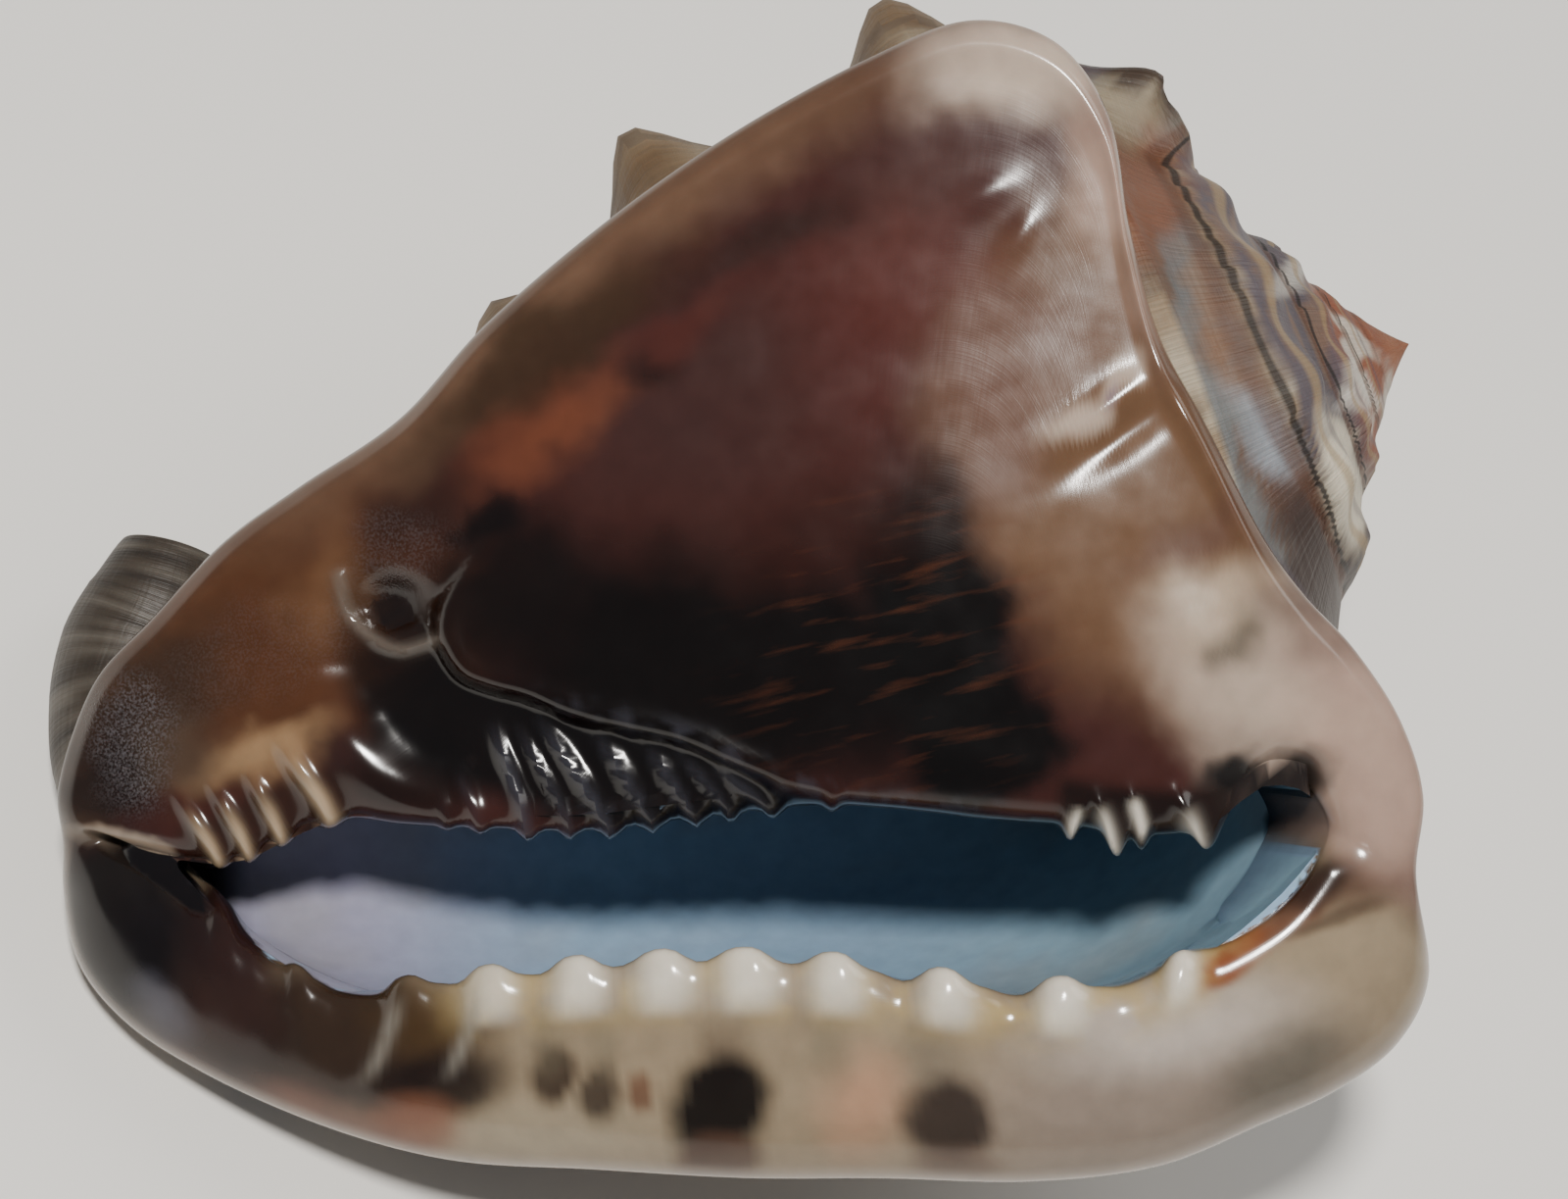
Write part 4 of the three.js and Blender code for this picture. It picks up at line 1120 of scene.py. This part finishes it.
# Body wall that shows through the mouth or the pit, close under the callus, has its colours, darkened on
# the columella side with painted shade.
front_rows = np.where(on_front)[0]
front_finder = nearest_to([(*place, 0) for place in mouth_seen[front_rows]])
nearest_row = front_rows[[front_finder.find((*place, 0))[1] for place in body_seen]]
depth = mouth_at[nearest_row, 2] - body_at[:, 2]
by_edge = smooth(*BY_EDGE, mouth_from_edge[nearest_row]) * smooth(*DEEP_UNDER, depth)
covered = smooth(*INSIDE_RIM, from_rim[nearest_row]) * np.maximum(smooth(*CLOSE_UNDER, depth), by_edge)
# Painted shade under the callus, taken off again on the lip side.
throat_colour = laid_over(mouth_colour[nearest_row], THROAT_SHADE_INK, THROAT_SHADE_MIX)
throat_colour = laid_over(throat_colour, INSIDE_MIDDLE, mouth_lip[nearest_row])
throat_colour = laid_over(throat_colour, PURPLE_BLACK, smooth(*FRONT_END_X, body_at[:, 0]))
body_colour = laid_over(body_colour, throat_colour, covered)
body_glaze = mix(body_glaze, 1, covered)

canal_at = vertex_places(canal.data)
rings = cloud(np.stack((canal_along * 40, canal_angle / 150, canal_angle * 0), 1), 1, 81, 3)
canal_colour = layered(even(CANAL_BROWN, canal_at), CANAL_LAYERS, {"all over": 1},
                       {"dark rings": rings, "pale rings": -rings})
hollow_at = vertex_places(hollow.data)
inside_colour = layered(even(INSIDE_MIDDLE, hollow_at), INSIDE_LAYERS, {"all over": 1},
                        {"x": hollow_at[:, 0], "clouds": cloud(hollow_at, 22, 91), "depth": along})
bore_at = vertex_places(bore.data)
bore_colour = even(BORE_BROWN, bore_at)


# The whole shell: it grew as one piece, so its parts are joined into one skin, which carries the
# colours, the gloss and the run of the growth lines.
MERGE_DISTANCE = 1e-4
SHARP_ANGLE = 50
CANAL_GLAZE = 0.35
HOLLOW_GLAZE = 0.9
BORE_GLAZE = 0.8


def faced_out(piece):
    bm = bmesh.new()
    bm.from_mesh(piece.data)
    bmesh.ops.remove_doubles(bm, verts=bm.verts, dist=MERGE_DISTANCE)
    bmesh.ops.recalc_face_normals(bm, faces=bm.faces)
    if bm.calc_volume(signed=True) < 0:
        bmesh.ops.reverse_faces(bm, faces=bm.faces)
    bm.to_mesh(piece.data)
    bm.free()


def joined(base, steps):
    for operation, piece in steps:
        change = base.modifiers.new(piece.name, "BOOLEAN")
        change.operation = operation
        change.solver = "MANIFOLD"
        change.object = piece
    bpy.context.view_layer.update()
    finished = base.evaluated_get(bpy.context.evaluated_depsgraph_get())
    return bpy.data.meshes.new_from_object(finished)


def grown_lines(across, lengthwise, family):
    """Where places lie among the growth lines. The family keeps each surface's lines its own."""
    return np.stack((across, lengthwise, np.full(len(across), float(family))), 1)


finish_of = [
    (body_at, body_colour, body_glaze, grown_lines(body_height, body_angle, 0)),
    (mouth_at, mouth_colour, mouth_glaze, grown_lines(mouth_loop * 560, from_rim * 3, 40)),
    (canal_at, canal_colour, np.full(len(canal_at), CANAL_GLAZE),
     grown_lines(canal_angle / 8, canal_along * 90, 80)),
    (hollow_at, inside_colour, np.full(len(hollow_at), HOLLOW_GLAZE),
     grown_lines(hollow_at[:, 0], hollow_at[:, 1] / 9, 120)),
    (bore_at, bore_colour, np.full(len(bore_at), BORE_GLAZE),
     grown_lines(bore_at[:, 0], bore_at[:, 1] / 9, 160)),
]
all_places, all_colours, all_glaze, all_lines = (np.concatenate(column) for column in zip(*finish_of))
count = len(all_places)
all_lie, all_coil = np.zeros((count, 3)), np.zeros((count, 3))
all_streaks, all_wrinkle = np.zeros(count), np.zeros(count)
all_coil[:len(body_at)] = body_coil
on_mouth = slice(len(body_at), len(body_at) + len(mouth_at))
all_lie[on_mouth], all_streaks[on_mouth], all_wrinkle[on_mouth] = mouth_lie, mouth_streaks, mouth_wrinkle

grown = (body, mouth, canal, hollow, bore)
for piece in grown:
    faced_out(piece)
skin = joined(body, [("UNION", canal), ("DIFFERENCE", hollow), ("UNION", mouth), ("DIFFERENCE", bore)])
skin.name = "helmet_shell_skin"
shell = bpy.data.objects.new("helmet_shell_glazed", skin)
bpy.context.scene.collection.objects.link(shell)
for piece in grown:
    bpy.data.objects.remove(piece, do_unlink=True)

finder = nearest_to(all_places)
source = np.array([finder.find(place)[1] for place in vertex_places(skin)])
carried = [("tint", "FLOAT_COLOR", "color", np.concatenate((all_colours, np.ones((count, 1))), 1)),
           ("glaze", "FLOAT", "value", all_glaze),
           ("streaks", "FLOAT", "value", all_streaks),
           ("wrinkle", "FLOAT", "value", all_wrinkle),
           ("grown", "FLOAT_VECTOR", "vector", all_lines),
           ("coil", "FLOAT_VECTOR", "vector", all_coil),
           ("lie", "FLOAT_VECTOR", "vector", all_lie)]
for label, kind, field, values in carried:
    layer = skin.attributes.new(label, kind, "POINT")
    layer.data.foreach_set(field, values[source].astype(np.float32).ravel())

skin.transform(laying @ Matrix.Diagonal((MM, MM, MM, 1)))
lying_at = vertex_places(skin)
lying_at[:, 2] = np.maximum(lying_at[:, 2], 0)
set_places(skin, lying_at)
for face in skin.polygons:
    face.use_smooth = True
skin.set_sharp_from_angle(angle=math.radians(SHARP_ANGLE))


# Its finish: clear porcelain gloss where callus was laid, dull chalk with fine growth lines
# and spiral threads outside. Noise scales are waves to a metre, or to a unit of the lines.
GLAZE_ROUGHNESS = 0.16
CHALK_ROUGHNESS = 0.62
UNEVEN_GLOSS = (-0.03, 0.05)
LIME_IOR = 1.48
LIME_GLOW = 0.06
LIME_GLOW_DEPTH = 0.003
RELIEF_STRENGTH = 0.6
RELIEF_DISTANCE = 0.0006
GROWTH_SCALE = (0.05, 1.5, 1)
THREAD_SCALE = (1.3, 0.02, 1)
STREAK_SCALE = (0.07, 0.5, 1)
GRAIN_SCALE = 900
RIPPLE_SCALE = 130
CLOUD_SCALE = 260
WRINKLE_SCALE = 2600
THREAD_HEIGHT = 0.7
GRAIN_HEIGHT = 0.25
RIPPLE_HEIGHT = 0.12
WRINKLE_HEIGHT = 0.5
LINE_SHADE = (-0.16, 0.12)
CLOUD_SHADE = (0.92, 1.08)
COIL_LINES = [
    ("tan band by the seam", -0.19, 0.06, (190, 164, 118), 0.6),
    ("brown band on the ramp", 0.06, 0.06, (128, 84, 50), 0.6),
    ("dark seam", 0.0, 0.018, (62, 46, 36), 0.85),
    ("lilac shade", -0.42, 0.10, (120, 104, 118), 0.45),
]
ATTRIBUTE_SOCKETS = {"tint": "Color", "grown": "Vector", "lie": "Vector", "coil": "Vector"}

finish = bpy.data.materials.new("shell_lime")
finish.use_nodes = True
tree = finish.node_tree
shader = tree.nodes["Principled BSDF"]


def add(kind, label, **settings):
    made = tree.nodes.new("ShaderNode" + kind)
    made.label = label
    for name, value in settings.items():
        setattr(made, name, value)
    return made


def join(source_socket, target_socket):
    tree.links.new(source_socket, target_socket)


def attribute(name):
    made = add("Attribute", name, attribute_name=name)
    return made.outputs[ATTRIBUTE_SOCKETS.get(name, "Fac")]


def stretched(label, vector, scale):
    made = add("Mapping", label)
    made.inputs["Scale"].default_value = scale
    join(vector, made.inputs["Vector"])
    return made.outputs["Vector"]


def noisy(label, vector, scale, detail):
    made = add("TexNoise", label)
    made.inputs["Scale"].default_value = scale
    made.inputs["Detail"].default_value = detail
    join(vector, made.inputs["Vector"])
    return made.outputs["Fac"]


def sums(label, operation, first, second):
    made = add("Math", label, operation=operation)
    for socket, value in zip(made.inputs, (first, second)):
        if isinstance(value, (int, float)):
            socket.default_value = value
        else:
            join(value, socket)
    return made.outputs["Value"]


def ranged(label, value, low, high, to_low, to_high):
    made = add("MapRange", label)
    for name, amount in (("From Min", low), ("From Max", high), ("To Min", to_low), ("To Max", to_high)):
        made.inputs[name].default_value = amount
    join(value, made.inputs["Value"])
    return made.outputs["Result"]


def over(label, below, ink, share):
    """A painter's ink over a colour of the material, by a share."""
    made = add("Mix", label, data_type="RGBA")
    made.inputs["B"].default_value = (*tint(*ink), 1)
    join(share, made.inputs["Factor"])
    join(below, made.inputs["A"])
    return made.outputs["Result"]


place = add("TexCoord", "place").outputs["Object"]
glaze_share = attribute("glaze")
lines = attribute("grown")
growth = noisy("growth lines", stretched("across the growth", lines, GROWTH_SCALE), 1, 4)
threads = noisy("spiral threads", stretched("along the coil", lines, THREAD_SCALE), 1, 3)
grain = noisy("chalk grain", place, GRAIN_SCALE, 3)
ripple = noisy("glaze ripple", place, RIPPLE_SCALE, 2)
fine_cloud = noisy("fine clouds", place, CLOUD_SCALE, 4)
wrinkles = noisy("wrinkles", place, WRINKLE_SCALE, 1)
streak_noise = noisy("streaks", stretched("along the streaks", attribute("lie"), STREAK_SCALE), 1, 4)
chalk_share = ranged("chalk", glaze_share, 0.1, 0.8, 1, 0.02)
wrinkle_share = attribute("wrinkle")

streak_share = sums("streaks where they lie", "MULTIPLY", attribute("streaks"),
                    ranged("streak edges", streak_noise, *STREAKS["edges"], 0, STREAKS["strength"]))
painted = over("streaks over the tint", attribute("tint"), STREAKS["colour"], streak_share)
# Painted sheen: the tops of the wrinkles are made pale.
wrinkle_sheen_share = sums("painted sheen share", "MULTIPLY", wrinkle_share,
                   ranged("tops", wrinkles, *WRINKLE_SHEEN_SPAN, 0, WRINKLE_SHEEN_STRENGTH))
painted = over("painted sheen on wrinkle tops", painted, WRINKLE_SHEEN, wrinkle_sheen_share)
coil_parts = add("SeparateXYZ", "place in the coil")
join(attribute("coil"), coil_parts.inputs["Vector"])
coil_angle = sums("coil angle", "ARCTAN2", coil_parts.outputs["Y"], coil_parts.outputs["X"])
coil_place = sums("share of a turn", "DIVIDE", coil_angle, 2 * math.pi)
for label, middle, half, ink, strength in COIL_LINES:
    off = sums(label + " off", "ABSOLUTE", sums(label + " from middle", "SUBTRACT", coil_place, middle), 0)
    share = sums(label + " share", "MULTIPLY", coil_parts.outputs["Z"],
                 ranged(label, off, 0.4 * half, half, strength, 0))
    painted = over(label, painted, ink, share)
line_shade = sums("lines only on chalk", "MULTIPLY", chalk_share,
                  ranged("lines of growth", growth, 0.3, 0.7, *LINE_SHADE))
mottle = sums("mottle", "ADD", ranged("clouding", fine_cloud, 0.25, 0.75, *CLOUD_SHADE), line_shade)
grey = add("CombineColor", "mottle grey")
for socket in grey.inputs:
    join(mottle, socket)
shade = add("Mix", "cloud the tint", data_type="RGBA", blend_type="MULTIPLY")
shade.inputs["Factor"].default_value = 1
join(painted, shade.inputs["A"])
join(grey.outputs["Color"], shade.inputs["B"])
join(shade.outputs["Result"], shader.inputs["Base Color"])

roughness = ranged("gloss", glaze_share, 0, 1, CHALK_ROUGHNESS, GLAZE_ROUGHNESS)
join(sums("uneven gloss", "ADD", roughness, ranged("gloss change", ripple, 0.3, 0.7, *UNEVEN_GLOSS)),
     shader.inputs["Roughness"])

height = sums("lines and threads", "ADD", growth, sums("thread height", "MULTIPLY", threads, THREAD_HEIGHT))
height = sums("with grain", "ADD", height, sums("grain height", "MULTIPLY", grain, GRAIN_HEIGHT))
height = sums("only outside", "MULTIPLY", height, chalk_share)
height = sums("with ripple", "ADD", height, sums("ripple height", "MULTIPLY", ripple, RIPPLE_HEIGHT))
wrinkling = sums("wrinkles", "MULTIPLY", wrinkle_share, WRINKLE_HEIGHT)
height = sums("with wrinkles", "ADD", height, sums("wrinkle height", "MULTIPLY", wrinkles, wrinkling))
bump = add("Bump", "fine relief")
bump.inputs["Strength"].default_value = RELIEF_STRENGTH
bump.inputs["Distance"].default_value = RELIEF_DISTANCE
join(height, bump.inputs["Height"])
join(bump.outputs["Normal"], shader.inputs["Normal"])
shader.inputs["IOR"].default_value = LIME_IOR
shader.inputs["Subsurface Weight"].default_value = LIME_GLOW
shader.inputs["Subsurface Scale"].default_value = LIME_GLOW_DEPTH

skin.materials.clear()
skin.materials.append(finish)

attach(shell, "root")
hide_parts("helmet_shell")
